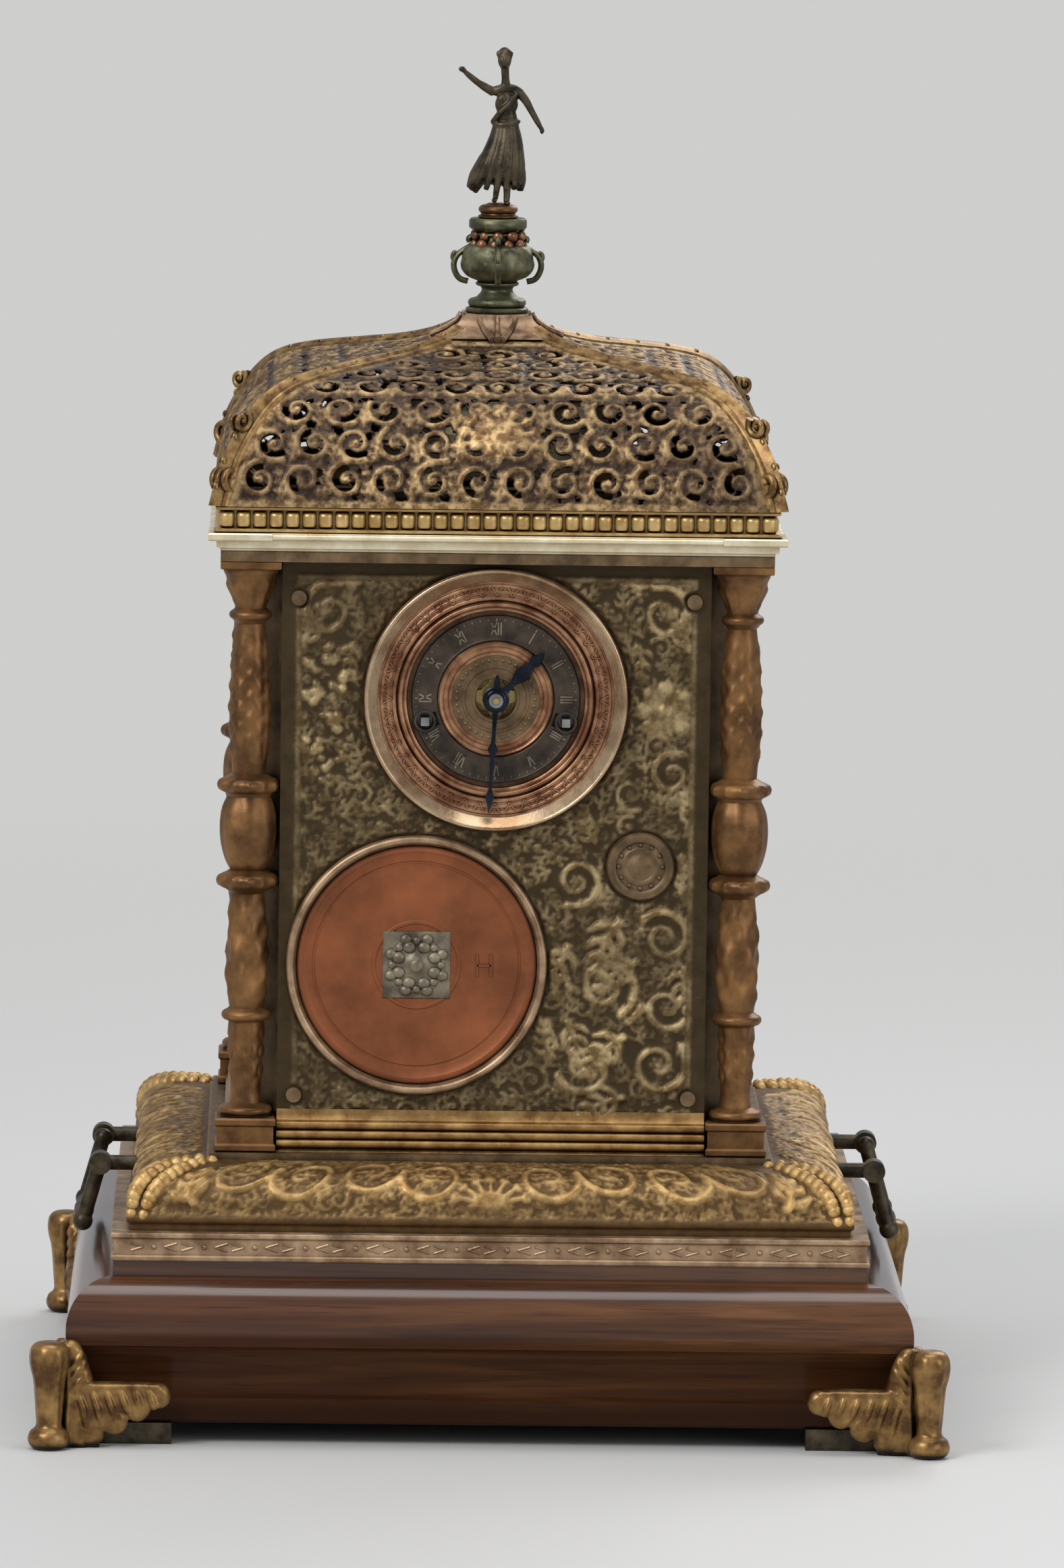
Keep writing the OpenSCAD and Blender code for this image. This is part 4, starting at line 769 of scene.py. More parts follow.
WOOD = wood_material()
GILT = metal("gilt_brass", (0.018, 0.010, 0.005), (0.22, 0.110, 0.034), (0.50, 0.31, 0.115),
             0.78, (0.28, 0.5), 3.6)
OLD_BRASS = metal("old_brass", (0.016, 0.009, 0.004), (0.105, 0.048, 0.015), (0.29, 0.145, 0.050),
                  0.65, (0.34, 0.56), 3.8, 70)
FILLET_BRASS = metal("fillet_brass", (0.030, 0.018, 0.010), (0.22, 0.130, 0.070),
                     (0.55, 0.38, 0.23), 0.65, (0.3, 0.5), 3.0, 80)
FOOT_BRASS = metal("foot_brass", (0.008, 0.005, 0.003), (0.105, 0.050, 0.016), (0.40, 0.235, 0.080),
                   0.72, (0.26, 0.48), 6.0, 110)
BAND_BRASS = metal("band_brass", (0.035, 0.020, 0.008), (0.46, 0.285, 0.095), (0.74, 0.53, 0.23),
                   0.7, (0.3, 0.5), 2.5)
# The cornice's pale cream colour is a painted highlight, standing for the light its top ledge reflects.
CORNICE_HIGHLIGHT_BRASS = metal("cornice_painted_highlight", (0.14, 0.10, 0.05), (0.72, 0.60, 0.38), (0.92, 0.84, 0.62),
               0.45, (0.25, 0.42), 1.5)
BEZEL = metal("bezel_brass", (0.04, 0.025, 0.015), (0.34, 0.205, 0.11), (0.70, 0.54, 0.35),
              0.85, (0.18, 0.34), 2.0, 50)
COPPER = metal("copper_dial", (0.012, 0.007, 0.004), (0.20, 0.078, 0.036), (0.52, 0.285, 0.15),
               0.7, (0.28, 0.48), 3.2, 110, dirt=(0.42, 0.95))
RIB_BRASS = metal("rib_brass", (0.014, 0.008, 0.004), (0.13, 0.066, 0.022), (0.46, 0.29, 0.11),
                  0.7, (0.3, 0.52), 4.0, 170)
DISC_COPPER = metal("disc_copper", (0.030, 0.012, 0.006), (0.175, 0.052, 0.015),
                    (0.33, 0.100, 0.034), 0.45, (0.42, 0.62), 2.5, 30)
DULL_BRASS = metal("dull_brass", (0.016, 0.011, 0.006), (0.10, 0.065, 0.030),
                   (0.26, 0.165, 0.085), 0.6, (0.38, 0.6), 3.0)
CROWN_BRASS = metal("crown_brass", (0.016, 0.009, 0.006), (0.14, 0.076, 0.042),
                    (0.46, 0.31, 0.185), 0.6, (0.34, 0.56), 3.5, 150)
DARK_BRONZE = metal("dark_bronze", (0.008, 0.007, 0.005), (0.024, 0.019, 0.012),
                    (0.115, 0.090, 0.052), 0.65, (0.32, 0.55), 3.0, 120)
VERDIGRIS = metal("green_brass", (0.010, 0.010, 0.005), (0.050, 0.053, 0.026),
                  (0.21, 0.20, 0.11), 0.55, (0.32, 0.55), 3.2, 110)
STEEL = metal("grey_steel", (0.02, 0.02, 0.02), (0.22, 0.22, 0.22), (0.42, 0.42, 0.41),
              0.85, (0.25, 0.45), 1.5)
BLUED = metal("blued_steel", (0.004, 0.004, 0.006), (0.010, 0.011, 0.018), (0.030, 0.035, 0.055),
              0.85, (0.2, 0.34), 1.0)
CLOCK_BRASS = metal("clock_brass", (0.10, 0.065, 0.02), (0.56, 0.40, 0.15), (0.74, 0.57, 0.27),
                    0.9, (0.2, 0.35), 1.5)
BELL_METAL = metal("bell_metal", (0.08, 0.065, 0.035), (0.40, 0.33, 0.19), (0.58, 0.50, 0.33),
                   0.9, (0.22, 0.4), 3.0)
DARK_RING = metal("dark_ring", (0.006, 0.005, 0.004), (0.028, 0.020, 0.014),
                  (0.085, 0.062, 0.042), 0.55, (0.35, 0.55), 1.5)
SILVERED = metal("grey_rosette", (0.035, 0.030, 0.022), (0.10, 0.082, 0.055), (0.31, 0.265, 0.185),
                 0.6, (0.35, 0.55), 2.0)
GREEN_RELIEF = relief_material("green_relief", (0.042, 0.027, 0.009), (0.090, 0.052, 0.018),
                               (0.24, 0.155, 0.056), (0.68, 0.52, 0.27))
SKIRT_RELIEF = relief_material("skirt_relief", (0.090, 0.050, 0.017), (0.19, 0.105, 0.033),
                               (0.45, 0.26, 0.085), (0.82, 0.56, 0.23), 0.85, 0.6, 190)
DOME_RELIEF = relief_material("dome_relief", (0.022, 0.012, 0.007), (0.070, 0.034, 0.014),
                              (0.24, 0.128, 0.046), (0.84, 0.58, 0.27), 0.9, 0.6, 230)


def dress(material, *names):
    """Gives CAD nodes a finished material."""
    for name in names:
        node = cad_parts[name]
        node.data.materials.clear()
        node.data.materials.append(material)


def finish_piece(piece, body, slot_name, *nodes):
    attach(piece, body)
    if nodes:
        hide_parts(*nodes)
    return piece


# Plinth of polished wood


def build_wood():
    low = WOOD_HALF - 8
    cove_z = WOOD_Z + 11.5
    band = WOOD_Z + 31.5
    brow = band + 6
    neck = 148
    inner = WOOD_HALF - 38
    outline = [(inner, WOOD_Z), (low - 1.2, WOOD_Z), (low, WOOD_Z + 1.2), (low, cove_z - 1.6)]
    outline += [(low - 0.6, cove_z - 1.0), (low - 1.5, cove_z)]
    outline += [(low - 1.5 + 9.5 * (1 - cosd(a)),
                 cove_z + (band - cove_z) * sind(a))
                for a in np.linspace(0, 90, 18)]
    outline += [(WOOD_HALF, band + 0.2), (WOOD_HALF, brow - 0.3)]
    outline += quarter(neck + 1, brow, WOOD_HALF - neck - 1, RAIL_TOP - brow, 0, 90, 22)
    outline += [(neck + 0.6, RAIL_TOP), (inner, RAIL_TOP), (inner, WOOD_Z)]
    finish_piece(square_sweep(outline).build("wood_mouldings", WOOD, 32), "case", "wood", "plinth_rails")


# Cast corner feet

LEAF_TOP = 26.3


def build_feet():
    out = WOOD_HALF + 0.4
    relief_w, relief_h = 44, 43
    r = Relief(0, relief_w, 0, relief_h, 0.55)
    # gx runs along the side away from the corner, gy upward
    gx, gy = np.meshgrid(r.x, r.y)
    body = np.full_like(gx, -9.0)

    def blade(points):
        nonlocal body
        for (x0, y0, w0), (x1, y1, w1) in zip(points, points[1:]):
            for t in np.linspace(0, 1, 18):
                cx, cy, w = x0 + (x1 - x0) * t, y0 + (y1 - y0) * t, w0 + (w1 - w0) * t
                body = np.maximum(body, w - np.hypot(gx - cx, gy - cy))

    # The upright leaf at the corner and the bracket under the wood, level on top and lobed below
    blade([(5, 4, 6), (6, 20, 8), (5, 34, 5), (3.4, 38, 4.6)])
    blade([(5, 19, 7), (18, 19, 7), (30, 20.4, 5.8), (38, 20.6, 5)])
    for cx, cy, w in ((11.5, 5.6, 5.4), (14, 12, 6.5), (20.5, 11, 5.8), (29.5, 15.8, 5.4)):
        body = np.maximum(body, w - np.hypot(gx - cx, gy - cy))
    body = np.where(gx > 13, np.minimum(body, LEAF_TOP - gy), body)
    base = np.minimum(body, gy + 0.5)
    r.height = np.clip(base, 0, 2.2) * 0.9
    for k in range(6):
        x = 6 + 5.6 * k
        r.stroke([(x, 23), (x + 2.6, 16), (x + 4.4, 5 + 2.7 * k)], 1.5, 1.0, 1.9, 0.7)
    for k in range(4):
        y = 22 + 4.6 * k
        r.stroke([(3.6, y - 4), (7, y), (11 - 0.8 * k, y + 3)], 1.3, 0.8, 1.9, 0.6)
    r.stroke([(6, 24.4), (38, 24.4)], 1.6, 1.2, 1.9)
    r.stroke([(2, 2), (3, 20), (2, 36)], 2.0, 1.2, 1.9)
    r.height = np.where(base > 0, 1.2 + np.minimum(r.height, 5.2), 0)
    r.soften(2)

    def along_front(gx, gy, h):
        # In front of the wood, with the corner at gx = 0
        return np.stack([out - gx + 1.0, -(out + 1.2 + h), gy], axis=-1)

    half = r.plate("foot_leaf", GILT, along_front, body_depth=1.2, keep=base)
    points = np.array([v.co for v in half.data.vertices]) / MM
    faces = [tuple(p.vertices) for p in half.data.polygons]
    bpy.data.objects.remove(half)
    one = Part()
    leaf = Part()
    leaf.add(points, faces)
    one.join(leaf)
    swap = np.eye(4)
    swap[:2, :2] = [[0, -1], [-1, 0]]
    one.turned(swap, leaf)
    # The corner scroll: a rolled leaf stem with a round foot
    axis = out + 5.7
    stem = [(0.0, 0.0), (4.6, 0.0), (7.2, 1.2), (8.3, 4.0), (7.4, 7.0), (5.6, 8.6), (5.0, 10.5),
            (5.4, 15), (5.9, 22), (6.6, 28), (7.7, 32), (8.2, 36), (7.6, 39.5), (5.6, 41.8),
            (2.6, 42.5), (0.0, 42.4)]

    def ribs(angle, radius, z):
        deep = np.clip((z - 9) / 4, 0, 1) * np.clip((41 - z) / 4, 0, 1)
        return 1 - 0.09 * deep * (0.5 - 0.5 * np.cos(8 * angle + 0.06 * z))

    points, faces = lathe(curve(stem, 3), 40, ribs)
    scroll = Part()
    scroll.add(points, faces)
    one.turned(shift(axis, -axis, 0), scroll)
    # The pad under the rails, set back in their shade, and a small block under the corner
    pad_in, pad_out = 42, 8
    pad = Part()
    for lo, hi in ((out - pad_in, out - pad_out), (out - 14, out + 1)):
        corners = [(lo, -hi), (hi, -hi), (hi, -lo), (lo, -lo)]
        pts = [(x, y, z) for z in (0.02, WOOD_Z - 0.1) for x, y in corners]
        sides = [(i, (i + 1) % 4, 4 + (i + 1) % 4, 4 + i) for i in range(4)]
        pad.add(pts, sides + [(3, 2, 1, 0), (4, 5, 6, 7)])
    feet = four_sides(one)
    # The pads are coloured dark bronze as painted shade under the wood.
    finish_piece(four_sides(pad).build("foot_pads", DARK_BRONZE, 50), "case", "gilt_brass", "corner_feet")
    finish_piece(feet.build("cast_feet", FOOT_BRASS, 50), "case", "gilt_brass", "corner_feet")


# Brass fillet with a beaded face, and the cast skirt over it


def build_fillet():
    half = FILLET_HIGH[0]
    z0, z1 = FILLET_LOW[2], FILLET_HIGH[2]
    outline = [(half - 16, z0), (half - 0.4, z0), (half, z0 + 0.5), (half, z0 + 1.7),
               (half - 0.4, z0 + 2.1), (half - 1.2, z0 + 2.5), (half - 1.2, z1 - 2.5),
               (half - 0.4, z1 - 2.1), (half, z1 - 1.7), (half, z1 - 0.5), (half - 0.4, z1),
               (half - 16, z1)]
    part = square_sweep(outline)
    ornament = Part()
    pitch = 6.6
    count = int((2 * half - 12) / pitch)
    middle = (z0 + z1) / 2
    for k in range(count):
        x = (k - (count - 1) / 2) * pitch
        if k % 3 == 1:
            ornament.add(*ball((x, -(half - 1.3), middle), (1.15, 0.9, 1.15), 6, 10), 1.0)
        else:
            lean = 1 if k % 3 == 0 else -1
            for s in (-1, 1):
                bar = [(x - 2.4 * lean, -(half - 1.3), middle + 1.5 * s),
                       (x + 2.4 * lean, -(half - 1.3), middle)]
                ornament.add(*tube(bar, 0.55, 6), 1.0)
    part.join(four_sides(ornament))
    finish_piece(part.build("beaded_fillet", FILLET_BRASS, 40), "case", "old_brass", "brass_fillet")


# Under 1 the skirt's shoulder is fuller than an ellipse
SHOULDER = 0.82


def skirt_line():
    """The skirt's face from its lower bead to the ledge, as (half width, height)."""
    half = SKIRT_HIGH[0]
    b = SKIRT_Z + 6.5
    ledge = 112
    top = half - 2
    line = [(half - 1.5, SKIRT_Z), (half - 1.5, SKIRT_Z + 2.7)]
    line += quarter(half - 2, b - 2, 2, 2, -60, 75, 8)
    line += [(ledge + (top - ledge) * cosd(a) ** SHOULDER,
              b + 3 + (LEDGE_Z - b - 3) * sind(a) ** SHOULDER)
             for a in np.linspace(0, 89.9, 22)]
    return np.array(line)


def corner_leaves(line):
    """A raised leaf up each mitre of the skirt, with lobes to both sides."""
    leaf = Part()
    root2 = math.sqrt(2)
    for t in np.linspace(0.04, 0.96, 12):
        w, z = (np.interp(t * (len(line) - 1), np.arange(len(line)), line[:, c]) for c in (0, 1))
        size = 2.4 + 1.5 * math.sin(math.pi * t)
        for side in (-1, 0, 1):
            spread = side * size * 1.35
            leaf.add(*ball((w * root2 - abs(spread) - 0.6, spread, z - 0.4 * abs(side)),
                           (size, size * 0.85, size), 8, 12), 2.0)
    return four_sides(leaf, 45)


def build_skirt():
    line = skirt_line()
    run = run_along(line)
    length = run[-1]
    half = SKIRT_HIGH[0]
    r = Relief(-half, half, 0, length, 0.75)
    bead_at = run[5]
    face_low = bead_at + 4
    mid = (face_low + length) / 2
    tall = length - face_low
    # A running scroll with a shell at the middle and leaves at the corners
    for s in (-1, 1):
        for k in range(4):
            x = s * (24 + 27 * k)
            hand = s * (1 if k % 2 else -1)
            r.scroll(x, mid + (1.5 if k % 2 else -1.5), tall * 0.36, 90 + 90 * hand, hand, 1.3,
                     thick=1.5, leaves=3, rise=0.9)
            r.leaf(x + s * 13, mid - 8 * (1 if k % 2 else -1), 90 - s * 90 + 30 * hand * s,
                   12, 20, 3)
        r.leaf(s * 118, face_low + 3, 90 - s * 30, 22, s * 20, 4)
        r.leaf(s * 104, length - 4, -90 + s * 40, 15, 20, 3)
    for k in range(-3, 4):
        r.leaf(0.8 * k, face_low + 3, 90 - 21 * k, 17, -10 * k, 2, 0.28)
    r.rosette(0, face_low + 4, 4.4, 8)
    r.fill(9.5, 21, 1.0)
    r.fill(6.0, 22, 1.2)
    r.height = np.minimum(r.height, 2.3)
    gx, gy = np.meshgrid(r.x, r.y)
    line_half = np.interp(gy, run, line[:, 0])
    edge = np.clip((line_half - np.abs(gx) - 1.5) / 4, 0, 1)
    r.height *= edge * np.clip((gy - face_low + 3) / 2, 0, 1) * np.clip((length - gy) / 3, 0, 1)
    r.soften(1)
    r.roughen(0.10)
    tangent = np.gradient(line, run, axis=0)
    normal = np.stack([tangent[:, 1], -tangent[:, 0]], axis=-1)

    def on_skirt(gx, gy, h):
        half_at = np.interp(gy, run, line[:, 0]) + h * np.interp(gy, run, normal[:, 0])
        z = np.interp(gy, run, line[:, 1]) + h * np.interp(gy, run, normal[:, 1])
        share = gx / half
        return np.stack([share * half_at, -half_at, z], axis=-1)

    part = Part()
    rows, columns = r.height.shape
    gx, gy = np.meshgrid(r.x, r.y)
    points = on_skirt(gx, gy, r.height * 0.85).reshape(-1, 3)
    side = Part()
    side.add(points, grid_faces(rows, columns), r.height.reshape(-1))
    # The ledge and the hidden back close the casting
    closing = [(111, LEDGE_Z), (100, LEDGE_Z), (100, LEDGE_Z - 6)]
    close = [(line[-1, 0], LEDGE_Z)] + closing
    pts = [(t * h, -h, z) for h, z in close for t in (-1, 1)]
    side.add(pts, grid_faces(len(close), 2), 0.6)
    part.join(four_sides(side))
    part.join(corner_leaves(line[8:]))
    finish_piece(part.build("cast_skirt", SKIRT_RELIEF, 60), "case", "gilt_brass", "base_skirt")


build_wood()
build_feet()
build_fillet()
build_skirt()


# Case: columns, mouldings and relief plates


def build_columns():
    s, k, h = 7.5, 12.0, ROOF_Z - CASE_Z
    line = [(0, 13.2), (10, 13.2), (10.2, 14.0)]
    line += quarter(s + 1.2, 15.6, 1.9, 1.9, -50, 90, 8)
    line += curve([(s - 1.0, 18.6), (s - 1.5, 24), (s - 0.9, 38), (s - 0.5, 51)], 5)
    line += quarter(s + 0.4, 53.5, 2, 2, -80, 80, 8)
    line += curve([(s - 0.7, 56.6), (s + 0.3, 64), (s + 0.6, 78), (s, 92), (s - 0.9, 102)], 5)
    line += quarter(k - 3, 107, 3, 3, -85, 85, 12)
    line += curve([(s - 0.4, 111.4), (s + 1.2, 114.5), (s + 3.0, 121), (s + 3.6, 128),
                   (s + 3.0, 135), (s + 1.0, 140.6)], 5)
    line += quarter(k - 3, 145, 3, 3, -85, 85, 12)
    line += curve([(s - 0.9, 149.6), (s - 0.3, 158), (s + 0.4, 171), (s + 0.1, 184),
                   (s - 0.5, 197), (s - 1.8, 209)], 5)
    line += quarter(s - 0.8, 212.5, 1.8, 1.8, -70, 70, 8)
    line += curve([(s - 1.4, 215.2), (s - 0.6, 219), (s + 1.4, 223.5), (k - 2.2, h - 7.2),
                   (k - 1.2, h - 5)], 4)
    line += [(k - 1, h - 4), (k - 1, h - 3.1), (0, h - 3.1)]

    def carved(angle, r, z):
        """Leaves round the shafts, lobes round the knops."""
        def between(a, b, soft=3):
            return np.clip((z - a) / soft, 0, 1) * np.clip((b - z) / soft, 0, 1)
        bulb = between(113, 141) * 0.055 * (np.abs(np.cos(4 * angle)) - 0.6)
        knop = (between(104, 110, 1) + between(142, 148, 1)) * 0.045 * np.cos(12 * angle)
        spiral = between(60, 98) * (0.06 * np.cos(5 * angle + 0.22 * z)
                                    + 0.05 * np.cos(5 * angle - 0.5 * z))
        leaf = between(24, 50) * 0.13 * (np.abs(np.cos(3 * angle)) ** 0.7 - 0.6)
        leaf = leaf + between(154, 204) * 0.12 * (np.abs(np.cos(3 * angle + 0.5)) ** 0.7 - 0.6)
        scale = between(154, 204) * 0.07 * np.cos(0.75 * z) * np.cos(6 * angle)
        scale = scale + between(24, 50) * 0.07 * np.cos(0.8 * z) * np.cos(6 * angle)
        top = between(216, h - 8, 2) * 0.08 * np.cos(8 * angle)
        return 1 + bulb + knop + spiral + leaf + scale + top

    rows = []
    for (r0, z0), (r1, z1) in zip(line, line[1:]):
        n = max(1, int(math.hypot(r1 - r0, z1 - z0) / 1.3))
        rows += [(r0 + (r1 - r0) * t / n, z0 + (z1 - z0) * t / n) for t in range(n)]
    rows.append(line[-1])
    shaft = Part()
    shaft.add(*lathe(rows, 48, carved))
    for half, z0, z1, soft in ((12, 0, 13.4, 0.7), (12, h - 3.2, h, 0.4)):
        outline = [(0, z0), (half - soft, z0), (half, z0 + soft), (half, z1 - soft),
                   (half - soft, z1), (0, z1)]
        if z1 > 10 and z0 < 1:
            outline = [(0, 0), (half - soft, 0), (half, soft), (half, 2.6), (half - 0.8, 3.4),
                       (half - 0.8, 10), (half, 10.8), (half, z1 - soft), (half - soft, z1), (0, z1)]
        shaft.join(square_sweep(outline))
    part = Part()
    at_corners(part, shaft, COLUMN_AT, CASE_Z)
    finish_piece(part.build("leafed_columns", OLD_BRASS, 38), "case", "old_brass", "corner_columns")


def build_foot_moulding():
    part = Part()
    line = [(PANEL_AT, 0), (PANEL_AT + 6.8, 0)]
    for k in range(3):
        line += quarter(PANEL_AT + 5.0 - 0.9 * k, 3 + 3.6 * k, 1.75, 1.75, -82, 82, 9)
    line += curve([(PANEL_AT + 2.7, 12.2), (PANEL_AT + 1.7, 13.6), (PANEL_AT + 1.3, 15.4)], 4)
    line += [(PANEL_AT + 1.1, 16.4), (PANEL_AT, 16.4)]
    side = Part()
    pts = [(x, -a, CASE_Z + z) for a, z in line for x in np.linspace(-PANEL_HALF, PANEL_HALF, 2)]
    side.add(pts, grid_faces(len(line), 2)[:, ::-1])
    for end in (0, 1):
        cap = [i * 2 + end for i in range(len(line))]
        side.faces.append(tuple(cap if end == 0 else cap[::-1]))
    part.join(four_sides(side))
    finish_piece(part.build("reeded_foot_mouldings", GILT, 40), "case", "gilt_brass", "foot_moulding")


def plate_relief(step):
    """An empty pattern for one side of the case; y runs up from the case's floor."""
    return Relief(-PANEL_HALF, PANEL_HALF, 0, ROOF_Z - CASE_Z, step)


def cleared(r, rings):
    """Flattens the relief under round pieces: (x, y, radius)."""
    gx, gy = np.meshgrid(r.x, r.y)
    for cx, cy, radius in rings:
        r.height *= np.clip((np.hypot(gx - cx, gy - cy) - radius) / 1.5, 0, 1)


def clear_screws(r, radius):
    """Flattens the relief under the four screws of a plate."""
    for s in (-1, 1):
        cleared(r, [(s * SCREW_X, z - CASE_Z, radius) for z in (CASE_Z + SCREW_LOW, ROOF_Z - SCREW_HIGH)])


def framed(r):
    """A flat margin with a rounded bar inside it."""
    margin, width, rise = 5.5, 2.4, 0.7
    gx, gy = np.meshgrid(r.x, r.y)
    x1, y0, y1 = r.x[-1], r.y[0], r.y[-1]
    inside = np.minimum.reduce([x1 - np.abs(gx), gy - y0, y1 - gy])
    bar = np.sqrt(np.clip(1 - ((inside - margin - width / 2) / (width / 2)) ** 2, 0, 1)) * rise
    r.height = np.where(inside < margin + width, np.maximum(bar, 0), r.height)


def on_wall(offset):
    def place(gx, gy, h):
        return np.stack([gx, -(offset + h), CASE_Z + gy], axis=-1)
    return place


def front_pattern(r):
    """Flowers, leaves and scrolls round the two dials; heights from the case floor."""
    up = ROOF_Z - CASE_Z
    # Corner sprays beside the upper dial
    for s in (-1, 1):
        r.scroll(s * 66, up - 20, 11.5, 90 + s * 20, -s, 1.3, leaves=4)
        r.leaf(s * 50, up - 8, 90 - s * 60, 20, s * 40, 4)
        r.leaf(s * 76, up - 34, 90 + s * 12, 17, s * 30, 4)
        r.leaf(s * 56, up - 33, -90 + s * 20, 14, -s * 40, 3)
    # Left: a tall bunch of fruit and leaves
    for i, (x, y, q) in enumerate(((-69, 196, 6), (-62, 187, 5.4), (-71, 180, 5.6), (-65, 171, 5),
                                   (-72, 163, 5.2), (-64, 157, 4.6), (-69, 149, 4.4))):
        r.fruit(x, y, q, 7, 0.75, 10 + i)
        r.leaf(x + 5, y, 20 - 12 * i, 10, 30, 3)
        r.leaf(x - 4, y + 2, 160 + 10 * i, 8, -30, 2)
    # Right: a large flower with leaves round it
    r.rosette(67, 176, 12, 8, 0.55)
    r.rosette(67, 176, 6.5, 6, 0.9, 30)
    for k in range(7):
        a = 20 + 51 * k
        r.leaf(67 + 9 * cosd(a), 176 + 9 * sind(a), a, 11, 35, 3)
    r.scroll(70, 151, 9, 60, 1, 1.3, leaves=3)
    r.scroll(54, 143, 7, -60, -1, 1.2, leaves=3)
    r.leaf(50, 152, 200, 14, -40, 4)
    # A ring of leaves round the small medallion
    for k in range(14):
        a = math.radians(360 / 14 * k)
        r.leaf(MEDALLION_X + 13.6 * math.cos(a), MEDALLION_Y + 13.6 * math.sin(a),
               math.degrees(a) + 35, 7.5, 30, 2, 0.45)
    # The big spray down the right side
    for x, y, q, start, hand in ((33, 108, 10, 250, 1), (68, 86, 11, 140, -1), (45, 66, 12.5, 300, 1),
                                 (69, 58, 10, 30, -1), (66, 35, 12, 40, -1), (37, 34, 11, 200, 1),
                                 (16, 28, 7, 100, -1)):
        r.scroll(x, y, q, start, hand, 1.4, leaves=5)
    for x, y, a, size in ((50, 92, 230, 24), (30, 82, 250, 20), (57, 76, 200, 20), (76, 74, 260, 18),
                          (30, 52, 300, 18), (52, 46, 210, 22), (78, 46, 270, 16), (52, 22, 190, 20),
                          (80, 24, 250, 12), (24, 38, 120, 16), (40, 98, 60, 14), (74, 104, 75, 15),
                          (40, 124, 130, 14), (77, 130, 80, 15), (20, 104, 330, 10)):
        r.leaf(x, y, a, size, 40 if x > 45 else -40, 4)
    r.fruit(57, 57, 5.5, 9, 0.8, 31)
    r.fruit(28, 66, 4.6, 7, 0.8, 32)
    r.fruit(79, 92, 4, 6, 0.8, 33)
    # Small corners round the lower disc
    for x, y, a in ((-77, 124, 100), (-74, 132, 40), (-60, 133, 10), (-78, 22, -80), (-76, 30, 200),
                    (-60, 20, -10), (-6, 134, 20), (8, 126, -40), (12, 22, 180), (-44, 137, 0),
                    (-30, 139, 5)):
        r.leaf(x, y, a, 12, 30, 3)
    r.scroll(-76, 37, 6, 0, 1, 1.2, leaves=3)


def scroll_column(r, s, x, top, low):
    """Two large scrolls and a smaller one between them, on side s of the middle line."""
    r.scroll(s * x, top, 20, 90 + s * 60, -s, 1.6, leaves=6)
    r.scroll(s * (x + 2), (top + low) / 2, 15, 90 - s * 60, s, 1.5, leaves=5)
    r.scroll(s * x, low, 20, 90 + s * 60, -s, 1.6, leaves=6)


def flower(r, y, radius):
    """A rosette on the middle line with a smaller one on it."""
    r.rosette(0, y, radius, 8, 0.65)
    r.rosette(0, y, radius * 0.5, 6, 1.0)


def side_pattern(r, middle_top, middle_low):
    """A balanced pattern about the middle line: scrolls, swags, and flowers on a stem."""
    up = ROOF_Z - CASE_Z
    for s in (-1, 1):
        scroll_column(r, s, 42, middle_top, middle_low)
        r.scroll(s * 62, up - 24, 11, 90, s, 1.3, leaves=4)
        r.scroll(s * 62, 36, 11, -90, -s, 1.3, leaves=4)
        r.leaf(s * 16, up - 30, 90 - s * 50, 26, s * 50, 4)
        r.leaf(s * 14, 30, 90 - s * 70, 24, s * 40, 4)
        r.leaf(s * 70, middle_top + 6, 90 - s * 5, 22, s * 25, 4)
        r.leaf(s * 71, middle_low + 6, 90 - s * 5, 22, s * 25, 4)
        r.swag(s * 6, up - 20, s * 50, up - 16, 9, 4.2)
    for y, q in ((up - 50, 10), (up / 2, 13), (60, 10)):
        flower(r, y, q)
        for k in range(8):
            a = 22.5 + 45 * k
            r.leaf(q * 0.9 * cosd(a), y + q * 0.9 * sind(a),
                   a, q * 0.8, 25, 2)
    r.stroke([(0, 26), (0, up / 2 - 20)], 1.3, 1.3)
    r.stroke([(0, up / 2 + 20), (0, up - 26)], 1.3, 1.3)
    for k in range(7):
        y = 82 + 20 * k
        if abs(y - up / 2) > 22:
            for s in (-1, 1):
                r.leaf(0, y, 90 - s * 55, 13, s * 30, 3)


def ground_work(r, seed):
    """Small leaves in two sizes on the free ground, and the frame round the plate."""
    r.fill(11, seed, 0.85)
    r.fill(7.5, seed + 1, 0.85)
    framed(r)


def plate_piece(name, r, material, offset, depth, keep=None):
    r.height = np.minimum(r.height, 2.3)
    r.soften(1)
    r.roughen(0.12)
    return r.plate(name, material, on_wall(offset), depth, keep)


def build_front():
    r = plate_relief(0.7)
    front_pattern(r)
    ground_work(r, 5)
    cleared(r, ((0, DIAL_Z - CASE_Z, DIAL_R + 0.3), (DISC_X, DISC_Z - CASE_Z, DISC_R + 0.3),
                (MEDALLION_X, MEDALLION_Y, 13.9)))
    clear_screws(r, 3.6)
    gx, gy = np.meshgrid(r.x, r.y)
    keep = np.full_like(gx, 9.0)
    for x, z, radius in [(0, DIAL_Z, 14)] + [(s * HOLE_X, DIAL_Z - HOLE_DROP, 4) for s in (-1, 1)]:
        keep = np.minimum(keep, np.hypot(gx - x, gy - (z - CASE_Z)) - radius)
    piece = plate_piece("front_relief", r, GREEN_RELIEF, PANEL_AT, 4, keep)
    finish_piece(piece, "case", "green_bronze", "front_plate")


def build_sides():
    r = plate_relief(0.85)
    side_pattern(r, 172, 70)
    ground_work(r, 7)
    clear_screws(r, 3.6)
    first = plate_piece("left_relief", r, GREEN_RELIEF, PANEL_AT, 4)
    first.data.transform(Matrix.Rotation(-math.pi / 2, 4, "Z"))
    second = turned_copy(first, "right_relief", math.pi)
    finish_piece(first, "case", "green_bronze", "side_panels")
    finish_piece(second, "case", "green_bronze", "side_panels")


build_columns()
build_foot_moulding()
build_front()
build_sides()


# Cornice, gadrooned band and pierced dome

